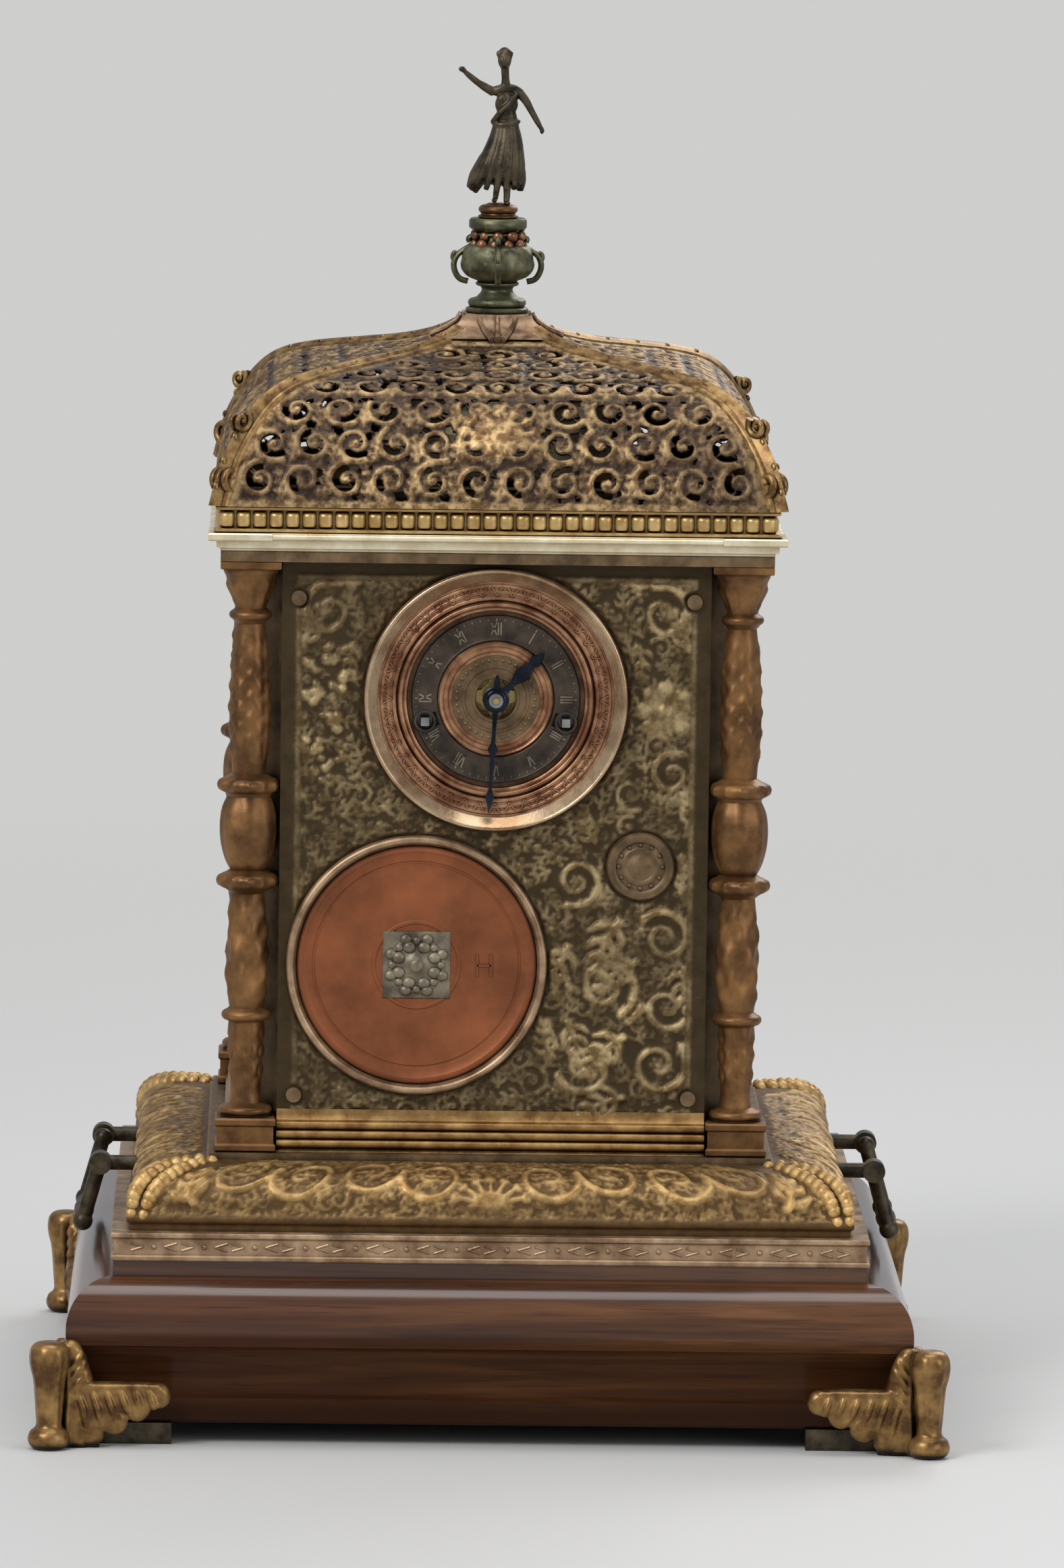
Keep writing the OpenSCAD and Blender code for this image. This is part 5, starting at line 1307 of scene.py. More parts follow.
DOME_LINE = ((0, 112.5), (8, 110.5), (18, 107.5), (28, 102.5), (36, 97), (42, 91), (46, 84),
             (49, 74), (51, 64), (53, 52), (55.5, 38), (58.5, 27), (62, 19), (65.5, 14.5), (69, 12.6))
NECK_HALF = 21
RIB_W = 9


def build_cornice():
    h = CORNICE_HIGH[0]
    z, b = CORNICE_Z, BAND_Z
    line = [(h - 26, z), (h - 5.4, z), (h - 4.8, z + 0.5), (h - 4.8, z + 1.3), (h - 3.4, z + 1.6)]
    line += [(h - 3.2, z + 4.6), (h - 2.6, z + 4.9)]
    line += quarter(h - 1.5, z + 6.0, 1.3, 1.1, -80, 80, 8)
    line += [(h - 2.2, b - 0.3), (h - 2.4, b), (h - 26, b)]
    part = square_sweep(line)
    w = 25.4 / 2
    block = square_sweep([(0, z + 4.4), (w - 0.5, z + 4.4), (w, z + 4.9), (w, b - 0.5), (w - 0.5, b),
                          (0, b)])
    at_corners(part, block, h - w)
    # The cornice takes the pale brass that carries the painted highlight.
    finish_piece(part.build("bright_cornice", CORNICE_HIGHLIGHT_BRASS, 40), "case", "gilt_brass", "cornice")


def build_band():
    h = BAND_HIGH[0]
    z0, z1 = BAND_Z, DOME_Z
    line = [(h - 11, z0), (h - 0.6, z0), (h, z0 + 0.5), (h, z0 + 1.0), (h - 0.6, z0 + 1.5),
            (h - 3.4, z0 + 1.8), (h - 3.4, z1 - 1.8), (h - 0.8, z1 - 1.5), (h - 0.2, z1 - 1.0),
            (h - 0.2, z1 - 0.5), (h - 0.8, z1), (h - 11, z1)]
    part = square_sweep(line)
    count = 34
    pitch = 2 * (h - 1.5) / count
    low, high = z0 + 1.7, z1 - 1.8
    lobe = Part()
    u = np.linspace(-1, 1, 9)[None, :]
    v = np.linspace(0, 1, 10)[:, None]
    swell = np.clip(np.minimum(v * 7, (1 - v) * 4.2), 0, 1) ** 0.5 * (0.82 + 0.18 * v)
    out = 2.6 * np.sqrt(np.clip(1 - u * u, 0, 1)) * swell
    x = u * pitch * 0.46 * (0.75 + 0.25 * swell) + 0 * v
    points = np.stack([x, -out, low + (high - low) * v + 0 * u], axis=-1).reshape(-1, 3)
    lobe.add(points, grid_faces(10, 9), 0.8)
    row = Part()
    for k in range(count):
        row.turned(shift(-h + 1.5 + (k + 0.5) * pitch, -(h - 3.4), 0), lobe)
    part.join(four_sides(row))
    finish_piece(part.build("gadroon_lobes", BAND_BRASS, 45), "dome", "old_brass", "gadroon_band")


def dome_curve():
    """The dome's outer line from the band up: half widths and heights, and its run."""
    line = np.array([(w * CORNICE_HIGH[0] / 114, DOME_Z + max(0, z)) for z, w in DOME_LINE])
    line = np.array(curve(line, 6))
    tangent = np.gradient(line, axis=0)
    tangent /= np.linalg.norm(tangent, axis=1)[:, None]
    normal = np.stack([tangent[:, 1], -tangent[:, 0]], axis=-1)
    run = run_along(line)
    return line, normal, run


def build_dome_panels():
    line, normal, run = dome_curve()
    top = float(np.interp(-23.0, -line[:, 0], run))
    half0 = line[0, 0]
    r = Relief(-half0, half0, 0, top, 0.8)
    # Rows of scrolls, as many in each as the panel's width there holds
    radius, first_row, pitch = 7.8, 11, 15.4
    for row, v in enumerate(np.arange(first_row, top - 8, pitch)):
        room = 2 * np.interp(v, run, line[:, 0]) - RIB_W * 1.6
        count = max(1, int(room / (2.06 * radius)))
        for k in range(count):
            x = (k - (count - 1) / 2) * room / count
            hand = (1 if (k + row) % 2 else -1) * (-1 if count % 2 == 0 and x < 0 else 1)
            r.scroll(x, v, radius, 90 * hand + 30 * row, hand, 1.3, thick=1.05, leaves=4, rise=1.0,
                     heart="rosette" if k % 2 else "bud")
            r.leaf(x + room / count / 2, v - radius * 0.9, 90, radius * 1.5, 14 * hand, 3, 0.42)
    # A shell at the middle of each side
    shell_y = 26
    for k in range(-4, 5):
        r.leaf(0, shell_y, 90 - 19 * k, 19, -8 * k, 3, 0.3, 1.1)
    r.rosette(0, shell_y, 6, 8, 1.0)
    r.fill(6.5, 15, 0.8, 0.3)
    gx, gy = np.meshgrid(r.x, r.y)
    half = np.interp(gy, run, line[:, 0])
    border = half - RIB_W / 2 / math.cos(math.pi / 4) - 0.1 - np.abs(gx)
    frame_strip = np.maximum.reduce([3.4 - border, 3.0 - gy, gy - (top - 5.0)])
    # Two thin bars between the rows tie the scrolls together
    bars = np.maximum(0.8 - np.abs(gy - (first_row + pitch / 2)),
                      0.8 - np.abs(gy - (first_row + 2.5 * pitch)))
    keep = np.maximum.reduce([r.edge + 0.25, frame_strip, bars])
    keep = np.minimum(keep, border)
    # Loose bits that touch nothing are left out
    inside = keep > 0
    held = inside & (frame_strip > 0)
    while True:
        grown = held.copy()
        for axis in (0, 1):
            for step in (-1, 1):
                grown |= np.roll(held, step, axis)
        grown &= inside
        if (grown == held).all():
            break
        held = grown
    keep = np.where(inside & ~held, -1.0, keep)
    strip = np.clip(frame_strip, 0, 1.0) * 0.9
    r.height = np.maximum(np.minimum(r.height, 2.0), strip)
    r.soften(1)
    r.roughen(0.12, 5)

    def on_dome(gx, gy, h):
        out = h * 0.95 - 1.1
        a = np.interp(gy, run, line[:, 0]) + out * np.interp(gy, run, normal[:, 0])
        z = np.interp(gy, run, line[:, 1]) + out * np.interp(gy, run, normal[:, 1])
        return np.stack([gx, -a, z], axis=-1)

    first = r.plate("dome_relief_0", DOME_RELIEF, on_dome, 1.4, keep)
    finish_piece(first, "dome", "old_brass", "dome_panels")
    for side in (1, 2, 3):
        other = turned_copy(first, "dome_relief_%d" % side, math.pi / 2 * side)
        finish_piece(other, "dome", "old_brass", "dome_panels")


def curl(radius, turns, grow):
    """A flat spiral from its outer end to its heart: x, z pairs about (0, 0)."""
    steps = 28
    a = np.linspace(0, TAU * turns, steps)
    q = radius * (1 - grow * np.linspace(0, 1, steps))
    return np.stack([q * np.cos(a), q * np.sin(a)], axis=-1)


def build_ribs():
    line, normal, run = dome_curve()
    keep = line[:, 0] > NECK_HALF - 5
    path, nor = line[keep], normal[keep]
    profile = [(-4.5, -2.6), (-4.5, 0.4), (-4.0, 0.9), (-3.2, 0.9), (-2.7, 0.2), (-2.2, 0.6),
               (-1.3, 1.7), (0, 2.2), (1.3, 1.7), (2.2, 0.6), (2.7, 0.2), (3.2, 0.9), (4.0, 0.9),
               (4.5, 0.4), (4.5, -2.6)]
    rib = Part()
    root2 = math.sqrt(2)
    rows = []
    for (w, z), (nx, nz) in zip(path, nor):
        for side, out in profile:
            rows.append((w * root2 - abs(side) * 0.9 + out * nx, side, z + out * nz * 0.9))
    rib.add(rows, grid_faces(len(path), len(profile)))
    # A big leaf volute at the foot of each rib, a smaller one above, then crockets
    foot = 1.33 * CORNICE_HIGH[0]

    def volute(cx, cz, radius, turns, start, widths, bar):
        flat = curl(radius, turns, 0.82)
        c, s = cosd(start), sind(start)
        for side, share in widths:
            pts = [(cx + (c * x - s * z) * share, side, cz + (s * x + c * z) * share)
                   for x, z in flat]
            size = np.linspace(bar * 1.15, bar * 0.6, len(pts))
            rib.add(*tube(pts, size, 8), 1)
        rib.add(*ball((cx, 0, cz), (radius * 0.3, widths[-1][0] + bar, radius * 0.3), 8, 10), 1)

    volute(foot, DOME_Z + 11, 7.6, 1.3, 120, ((-3.2, 0.92), (0, 1.0), (3.2, 0.92)), 1.7)
    volute(foot - 7, DOME_Z + 33, 4.8, 1.2, 140, ((-1.6, 0.95), (1.6, 0.95)), 1.3)
    for t in (0.06, 0.14, 0.22, 0.46, 0.56, 0.66, 0.76, 0.86, 0.95):
        at = t * run[keep][-1]
        w = np.interp(at, run, line[:, 0]) * root2
        z = np.interp(at, run, line[:, 1])
        nx, nz = np.interp(at, run, normal[:, 0]), np.interp(at, run, normal[:, 1])
        size = 2.5 - 0.8 * t
        for side in (-1, 0, 1):
            pts = []
            for k in range(9):
                a = k / 8 * 4.2
                reach = size * (1 - 0.5 * k / 8)
                dx = math.sin(a) * reach * 0.6
                out = (1 - math.cos(a)) * reach * 0.36 + 0.4
                pts.append((w + nx * out - nz * dx, side * (0.6 + 0.35 * k / 8 * size),
                            z + nz * out + nx * dx))
            rib.add(*tube(pts, np.linspace(0.95, 0.45, 9), 6), 1)
    part = four_sides(rib, 45)
    finish_piece(part.build("dome_ribs_and_leaves", RIB_BRASS, 50), "dome", "gilt_brass", "dome_ribs")
    # The square neck that carries the vase
    part = Part()
    start = [(w, z) for w, z in line if w < NECK_HALF + 4]
    neck = [(start[0][0] - 2.4, start[0][1] - 1.2)]
    neck += [(w + 0.8, z + 0.5) for w, z in start[:-1]]
    neck += [(12.8, CROWN_Z - 0.8), (12.2, CROWN_Z), (0, CROWN_Z)]
    part.join(square_sweep(neck))
    for side in range(4):
        leafy = Part()
        for s in (-1, 0, 1):
            pts = []
            for t in np.linspace(0, 0.98, 10):
                width = 25 - 12 * t
                rise = np.interp(width, [12.6, 14.5, 19, 27], [69, 65.5, 62, 58.5])
                pts.append((s * (2 + 5.5 * t), -(width + 1.2), DOME_Z + rise + 0.6))
            leafy.add(*tube(pts, np.linspace(1.6, 0.8, 10), 6), 1)
        part.turned(turn_z(90 * side), leafy)
    finish_piece(part.build("leafed_crown", CROWN_BRASS, 50), "dome", "gilt_brass", "dome_ribs")


def build_urn():
    z = CROWN_Z
    line = [(0, 0), (12.2, 0), (12.6, 0.5), (12.6, 1.7), (11.6, 2.3)]
    line += quarter(9.7, 4, 2, 1.8, -60, 80, 8)
    line += curve([(8.4, 6.2), (6.6, 8.2), (6.3, 9.6), (7.2, 10.8)], 4)
    line += quarter(7.4, 11.6, 1.3, 0.9, -70, 70, 6)
    line += curve([(8.2, 12.8), (11.6, 14.4), (13.9, 17.2), (14.4, 20.6), (14.0, 24.0), (12.4, 26.4),
                   (9.6, 27.8), (8.6, 29.2), (8.4, 31)], 5)
    line += quarter(8.6, 31.6, 1.3, 0.8, -60, 70, 6)
    line += curve([(8.8, 32.4), (10.2, 33.2), (11.4, 34)], 4)
    line += [(11.6, 34.6), (11.6, 37.0), (10.8, 37.9), (0, 37.9)]

    def lobes(angle, r, height):
        low = np.clip((height - 12.8) / 1.5, 0, 1) * np.clip((21.5 - height) / 2, 0, 1)
        top = np.clip((height - 24) / 2, 0, 1) * np.clip((30.5 - height) / 2, 0, 1)
        return 1 + 0.07 * low * (np.abs(np.cos(8 * angle)) - 0.5) + 0.05 * top * np.cos(10 * angle)

    vase = Part()
    vase.add(*lathe(line, 72, lobes))
    for k in range(4):
        side = Part()
        c = 13.6
        pts = [(c - 1.8, 0, 12.4), (c + 1.4, 0, 13.4), (c + 3.4, 0, 16.2), (c + 3.9, 0, 19.6),
               (c + 2.6, 0, 22.8), (c - 0.2, 0, 25), (c - 3, 0, 26.8), (c - 4.6, 0, 28.8),
               (c - 3.6, 0, 30.4), (c - 2.0, 0, 29.6), (c - 2.4, 0, 28.2)]
        side.add(*tube(curve(pts, 4), 1.2, 8), 1)
        pts = [(c + 3.2, 0, 20.4), (c + 4.4, 0, 22), (c + 3.8, 0, 24), (c + 2.2, 0, 23.6)]
        side.add(*tube(curve(pts, 4), np.linspace(1.1, 0.7, 13), 8), 1)
        side.add(*ball((c - 0.6, 0, 19.0), (1.6, 2.8, 2.6), 8, 10), 1)
        vase.turned(turn_z(90 * k), side)
        mask = Part()
        for x, y, q in ((0, 0, 2.4), (-2.4, 1.4, 1.5), (2.4, 1.4, 1.5), (-1.7, -2.0, 1.4),
                        (1.7, -2.0, 1.4), (0, 3.0, 1.3)):
            mask.add(*ball((c - 0.9 - 0.05 * abs(x), x, 19.5 + y), (q * 0.6, q, q), 8, 10), 1)
        vase.turned(turn_z(90 * k + 45), mask)
    part = Part()
    part.turned(shift(0, 0, z), vase)
    finish_piece(part.build("vase", VERDIGRIS, 45), "dome", "green_bronze", "finial_urn")
    # Fruit heaped round the vase's mouth, under the rim
    heap = Part()
    place = np.random.default_rng(8)
    for row, (height, radius, count, size) in enumerate(((27.4, 9.4, 11, 2.3), (31.0, 9.0, 10, 2.4),
                                                         (34.2, 8.6, 9, 2.2))):
        for i in range(count):
            a = TAU * (i + 0.5 * (row % 2)) / count
            q = size * place.uniform(0.82, 1.12)
            heap.add(*ball((radius * math.cos(a), radius * math.sin(a), height),
                           (q, q, q * 1.05), 8, 12), place.uniform(0, 1))
    fruit = Part()
    fruit.turned(shift(0, 0, z), heap)
    finish_piece(fruit.build("vase_fruit", COPPER), "dome", "copper", "finial_urn")


# The figure is drawn at this height, from the knob's foot to the hair
FIGURE_TALL = 69


def build_figure():
    z0 = KNOB_Z
    k = (FIGURE_HIGH[2] - z0) / FIGURE_TALL
    place = shift(0, 0, z0) @ scaling(k, k, k)
    knob = Part()
    line = [(0, 0), (7.6, 0), (8, 0.4), (8, 0.9), (7, 1.4)] + quarter(5, 3.4, 2.9, 2.0, -50, 70, 10)
    line += [(5.0, 5.4), (4.2, 5.9), (0, 6.0)]
    knob.add(*lathe(line, 40))
    base = Part()
    base.turned(place, knob)
    base_piece = base.build("figure_knob", OLD_BRASS, 40)
    finish_piece(base_piece, "dome", "dark_bronze", "finial_figure")
    body = Part()

    def blob(x, y, z, rx, ry, rz):
        body.add(*ball((x, y, z), (rx, ry, rz), 12, 16))

    def bar(points, radius):
        steps = np.linspace(0, 1, 5 * (len(points) - 1) + 1)
        body.add(*tube(curve(points, 5), np.interp(steps, np.linspace(0, 1, len(radius)), radius), 12))

    # Feet and legs under the blown skirt
    bar([(3.2, -1.8, 6.4), (3.4, -1.6, 11), (3.2, -0.8, 19), (3.0, 0, 29)], [1.25, 1.5, 2.2, 3.0])
    bar([(-1.2, 1.0, 7.4), (-0.6, 1.0, 12), (0.6, 0.8, 20), (1.4, 0.4, 30)], [1.1, 1.4, 2.2, 3.0])
    blob(3.6, -2.8, 6.1, 1.3, 2.3, 0.9)
    blob(-1.6, 0.2, 6.9, 1.2, 2.2, 0.9)
    # Skirt: gathered folds from the waist, swept toward the left
    for i in range(16):
        a = TAU * i / 16
        c, s = math.cos(a), math.sin(a)
        sweep = -3.6 * (0.5 - 0.5 * c)
        bar([(2.6 + 3.8 * c, 3.0 * s, 38), (2.4 + 5.4 * c, 4.4 * s, 31),
             (1.4 + 7.4 * c + 0.35 * sweep, 5.4 * s, 21),
             (0.6 + 8.6 * c + sweep, 6.2 * s + 0.8, 12 - 1.5 * math.sin(3 * a))],
            [1.2, 1.6, 1.9, 1.1])
    for z, rx, ry, x in ((37, 4.6, 3.5, 2.6), (32, 5.4, 4.3, 2.4), (27, 6.4, 4.8, 2.0),
                         (22, 7.2, 5.2, 1.2), (17, 8.0, 5.4, 0.4)):
        blob(x, 0.2, z, rx, ry, 4.2)
    # The cloth blown out to the left
    bar([(-1, 2.4, 30), (-5.6, 3.0, 23), (-9.6, 3.4, 16.4), (-11.8, 3.0, 11.6)], [2.4, 2.8, 2.4, 1.2])
    bar([(-1, 3.2, 27), (-5, 4.2, 19), (-8.2, 4.4, 13), (-9.4, 4.0, 9.6)], [2.4, 2.6, 2.0, 0.9])
    bar([(5, 1.8, 30), (8.4, 2.4, 22), (9.6, 2.4, 15), (9.2, 2.0, 10.6)], [1.8, 1.9, 1.5, 0.8])
    # Trunk with a sash across the chest
    blob(2.7, -0.1, 40.5, 4.4, 3.5, 4.0)
    blob(2.8, -0.2, 45.6, 4.7, 3.4, 4.8)
    blob(0.9, -1.9, 47.6, 2.2, 1.8, 2.1)
    blob(4.8, -1.9, 47.4, 2.2, 1.8, 2.1)
    bar([(-2.6, 0.2, 50.6), (0.4, -0.5, 51.6), (3.0, -0.4, 52.0), (5.8, -0.4, 51.6),
         (7.8, 0.2, 50.4)], [2.0, 1.9, 1.8, 1.9, 2.0])
    bar([(7.0, -2.2, 50.4), (3.8, -3.6, 46), (-0.2, -3.6, 42), (-2.6, -1.6, 38.4)], [0.9, 1.0, 1.1, 1.2])
    bar([(-2.9, 0.2, 38.6), (0, -3.4, 37.6), (4.4, -3.5, 37.8), (7.6, -0.6, 38.8),
         (5, 3, 38.4), (0, 3.1, 38), (-2.9, 0.2, 38.6)], [1.0] * 7)
    # Neck, head and gathered hair
    bar([(2.4, 0.1, 52.4), (2.2, -0.2, 56), (2.0, -0.3, 60)], [2.0, 1.6, 1.7])
    blob(1.8, -0.6, 63.6, 2.8, 3.1, 4.2)
    blob(1.9, 0.5, 65.0, 3.1, 3.2, 3.5)
    blob(2.2, 3.2, 64.4, 1.7, 1.5, 1.6)
    for a in range(7):
        t = math.radians(200 - 37 * a)
        blob(1.8 + 2.7 * math.cos(t), -0.4 - 0.4 * abs(math.sin(t)), 65.8 + 1.3 * math.sin(t),
             0.85, 1.0, 0.8)
    # Raised arm, and the lowered arm holding a fold of cloth
    bar([(-2.4, 0.1, 50.4), (-6.2, -0.5, 52.6), (-9.0, -1.0, 54.4)], [2.0, 1.75, 1.4])
    bar([(-9.0, -1.0, 54.4), (-12.0, -1.5, 56.8), (-14.4, -1.9, 58.9)], [1.45, 1.3, 0.95])
    blob(-15.2, -2.0, 59.6, 1.5, 0.9, 1.2)
    bar([(7.8, 0.1, 50.4), (10.4, -0.4, 47.2), (12.6, -0.9, 43.4)], [1.95, 1.7, 1.4])
    bar([(12.6, -0.9, 43.4), (15, -1.9, 39.2), (16.6, -2.7, 36.4)], [1.4, 1.25, 0.95])
    blob(17.1, -2.9, 35.4, 1.0, 0.9, 1.5)
    whole = Part()
    whole.turned(place, body)
    piece = whole.build("draped_figure", DARK_BRONZE)
    melt(piece, 0.42, 2)
    shape_face(piece, Vector((1.8 * k, -0.6 * k, z0 + 63.8 * k)) * MM, k * MM)
    finish_piece(piece, "dome", "dark_bronze", "finial_figure")


def shape_face(piece, centre, unit):
    """Brow, nose, lips, chin and eye hollows pushed in or out of an egg-shaped head."""
    marks = ((0.0, 0.35, 0.50, 0.42), (0.0, -0.25, 0.55, 0.40), (0.0, 0.9, 1.6, 0.10),
             (-0.95, 0.55, 0.62, -0.34), (0.95, 0.55, 0.62, -0.34), (0.0, -1.35, 0.75, 0.20),
             (0.0, -2.5, 0.9, 0.28), (-1.35, -0.7, 0.9, 0.10), (1.35, -0.7, 0.9, 0.10))
    for v in piece.data.vertices:
        x, y, z = (v.co - centre) / unit
        if y < -0.8 and abs(x) < 3 and abs(z) < 4:
            for mx, mz, size, push in marks:
                d2 = ((x - mx) ** 2 + (z - mz) ** 2) / size ** 2
                if d2 < 6:
                    v.co.y -= push * math.exp(-d2) * unit


build_cornice()
build_band()
build_dome_panels()
build_ribs()
build_urn()
build_figure()


# Dials, hands and disc

DIAL_AT = (0, DIAL_Z)
DISC_AT = (DISC_X, DISC_Z)


def on_front(place, shape, name, material, slot_name, node, sharp=40, body="case", depth=0.0,
             smooth=True):
    """Builds a shape drawn as (right, up, out) on the front plate's face."""
    part = Part()
    part.turned(front_at(place[0], -(PANEL_AT + depth), place[1]), shape)
    finish_piece(part.build(name, material, sharp, smooth), body, slot_name, node)


def ring_shape(line, around=144):
    shape = Part()
    shape.add(*lathe(line, around))
    return shape


def bar_shape(x0, y0, x1, y1, width, base, top):
    """A thin raised bar between two points of the dial."""
    a, b = np.array([x0, y0]), np.array([x1, y1])
    along = (b - a) / (np.linalg.norm(b - a) + 1e-9)
    side = np.array([-along[1], along[0]]) * width / 2
    corners = [a - side, b - side, b + side, a + side]
    pts = [(*c, z) for z in (base, top) for c in corners]
    faces = [(0, 3, 2, 1), (4, 5, 6, 7)] + [(i, (i + 1) % 4, 4 + (i + 1) % 4, 4 + i) for i in range(4)]
    return pts, faces


NUMERALS = ("XII", "I", "II", "III", "IIII", "V", "VI", "VII", "VIII", "IX", "X", "XI")
STROKES = {"I": (((0, 0), (0, 1)),), "V": (((-0.32, 1), (0, 0)), ((0.32, 1), (0, 0))),
           "X": (((-0.36, 1), (0.36, 0)), ((0.36, 1), (-0.36, 0)))}
ADVANCE = {"I": 0.34, "V": 0.72, "X": 0.78}


def numeral(shape, text, angle, r_in, r_out, base, top):
    """A Roman numeral standing outward, its foot toward the middle."""
    tall = r_out - r_in
    wide = sum(ADVANCE[c] for c in text) * tall * 0.62
    x = -wide / 2
    c, s = cosd(angle), sind(angle)
    for letter in text:
        step = ADVANCE[letter] * tall * 0.62
        for (ax, ay), (bx, by) in STROKES[letter]:
            ends = []
            for px, py in ((ax, ay), (bx, by)):
                lx = x + step / 2 + px * tall * 0.62
                ly = r_in + py * tall
                ends += [lx * c + ly * s, -lx * s + ly * c]
            shape.add(*bar_shape(*ends, 0.62, base, top), 1)
        x += step


def build_upper_dial():
    r, c = DIAL_R, 33.3
    line = [(c, 0), (r, 0), (r, 5.6), (r - 1.0, 6.4), (r - 5.4, 3.6)]
    for x in (r - 7.0, r - 9.4, r - 11.8):
        line += quarter(x, 3.3, 0.9, 0.65, 20, 160, 6)
    line += [(r - 13.0, 3.0), (r - 13.4, 3.5)] + quarter(r - 14.4, 3.5, 0.9, 0.9, 0, 180, 8)
    line += [(r - 15.8, 2.9), (c + 2.8, 2.9), (c + 2.0, 2.5), (c + 1.8, 0.5), (c, 0.5), (c, 0)]
    shape = ring_shape(line)
    # A chased leaf band between the rings
    for k in range(44):
        a = TAU * k / 44
        for lean in (-1, 1):
            r0, r1 = r - 11.0, r - 7.4
            b = a + lean * 0.045
            shape.add(*bar_shape(r0 * math.cos(a), r0 * math.sin(a), r1 * math.cos(b),
                                 r1 * math.sin(b), 0.55, 3.0, 4.1), 1)
    on_front(DIAL_AT, shape, "upper_dial_rings", COPPER, "copper", "upper_dial_ring")
    # Bright bezel rim
    rim = ring_shape([(r - 0.15, 5.2)] + quarter(r - 0.95, 6.5, 0.8, 0.8, -10, 120, 8)
                     + [(r - 1.9, 6.5), (r - 5.0, 4.3), (r - 5.4, 3.8)])
    on_front(DIAL_AT, rim, "bezel_rim", BEZEL, "gilt_brass", "upper_dial_ring", None, depth=0.05)
    # Chapter ring with raised numerals and a minute track
    ring = ring_shape([(23.1, 0), (23.1, 1.9), (23.5, 2.2), (24.2, 1.9), (32.2, 1.9), (32.9, 2.2),
                       (33.1, 1.9), (33.1, 0)])
    hole = winding_holes(ring, 1.9)
    on_front(DIAL_AT, hole, "chapter_ring_face", DARK_RING, "dark_ring", "chapter_ring")
    marks = Part()
    for k, text in enumerate(NUMERALS):
        if k in (4, 8):
            numeral_in, numeral_out = 25.6, 30.2
        else:
            numeral_in, numeral_out = 25.4, 30.4
        numeral(marks, text, 30 * k, numeral_in, numeral_out, 1.7, 2.15)
    for k in range(60):
        a = TAU * k / 60
        reach = 31.0 if k % 5 else 30.7
        marks.add(*bar_shape(reach * math.sin(a), reach * math.cos(a), 32.0 * math.sin(a),
                             32.0 * math.cos(a), 0.34 if k % 5 else 0.6, 1.7, 2.1), 1)
    marks = without_holes(marks)
    on_front(DIAL_AT, marks, "chapter_numerals", SILVERED, "dark_ring", "chapter_ring", None,
             smooth=False)
    copper = ring_shape([(17.4, 0), (17.4, 1.7), (18.6, 1.7), (19, 2.2), (20.4, 2.2), (20.8, 1.8),
                         (21.6, 1.8), (22.2, 2.3), (22.9, 1.6), (22.9, 0)])
    on_front(DIAL_AT, copper, "inner_copper_ring", COPPER, "copper", "dial_centre")
    centre = ring_shape([(8, 0), (8, 1.6), (8.3, 2.0), (9.2, 2.0), (9.6, 1.6), (12, 1.6), (12.3, 1.9),
                         (13.2, 1.9), (13.5, 1.6), (17.3, 1.6), (17.3, 0)])
    for k in range(36):
        a = TAU * k / 36
        centre.add(*ball((15.4 * math.cos(a), 15.4 * math.sin(a), 1.6), (0.8, 0.8, 0.5), 5, 8), 1)
    on_front(DIAL_AT, centre, "dial_middle", DULL_BRASS, "copper", "dial_centre")


def winding_holes(ring, top):
    """Collars round the winding holes; the ring's own faces stop at them."""
    out = Part()
    pts = np.concatenate(ring.points)
    keep = []
    for face in ring.faces:
        middle = pts[list(face)].mean(axis=0)
        near = min(math.hypot(middle[0] - x, middle[1] - y) for x, y in HOLES)
        if near > 3.4 or middle[2] < 0.5:
            keep.append(face)
    out.add(pts, keep)
    for x, y in HOLES:
        collar = Part()
        collar.add(*lathe([(3.3, 0.4), (3.3, top + 0.5), (3.6, top + 0.75), (4.3, top + 0.6),
                           (4.6, top)], 32), 0)
        out.turned(shift(x, y, 0), collar)
    return out


def without_holes(marks):
    """The marks that keep clear of the collars round the winding holes."""
    out = Part()
    pts = np.concatenate(marks.points)
    keep = []
    for face in marks.faces:
        near = min(np.hypot(pts[i][0] - x, pts[i][1] - y) for i in face for x, y in HOLES)
        if near > 4.7:
            keep.append(face)
    out.add(pts, keep, 1)
    return out


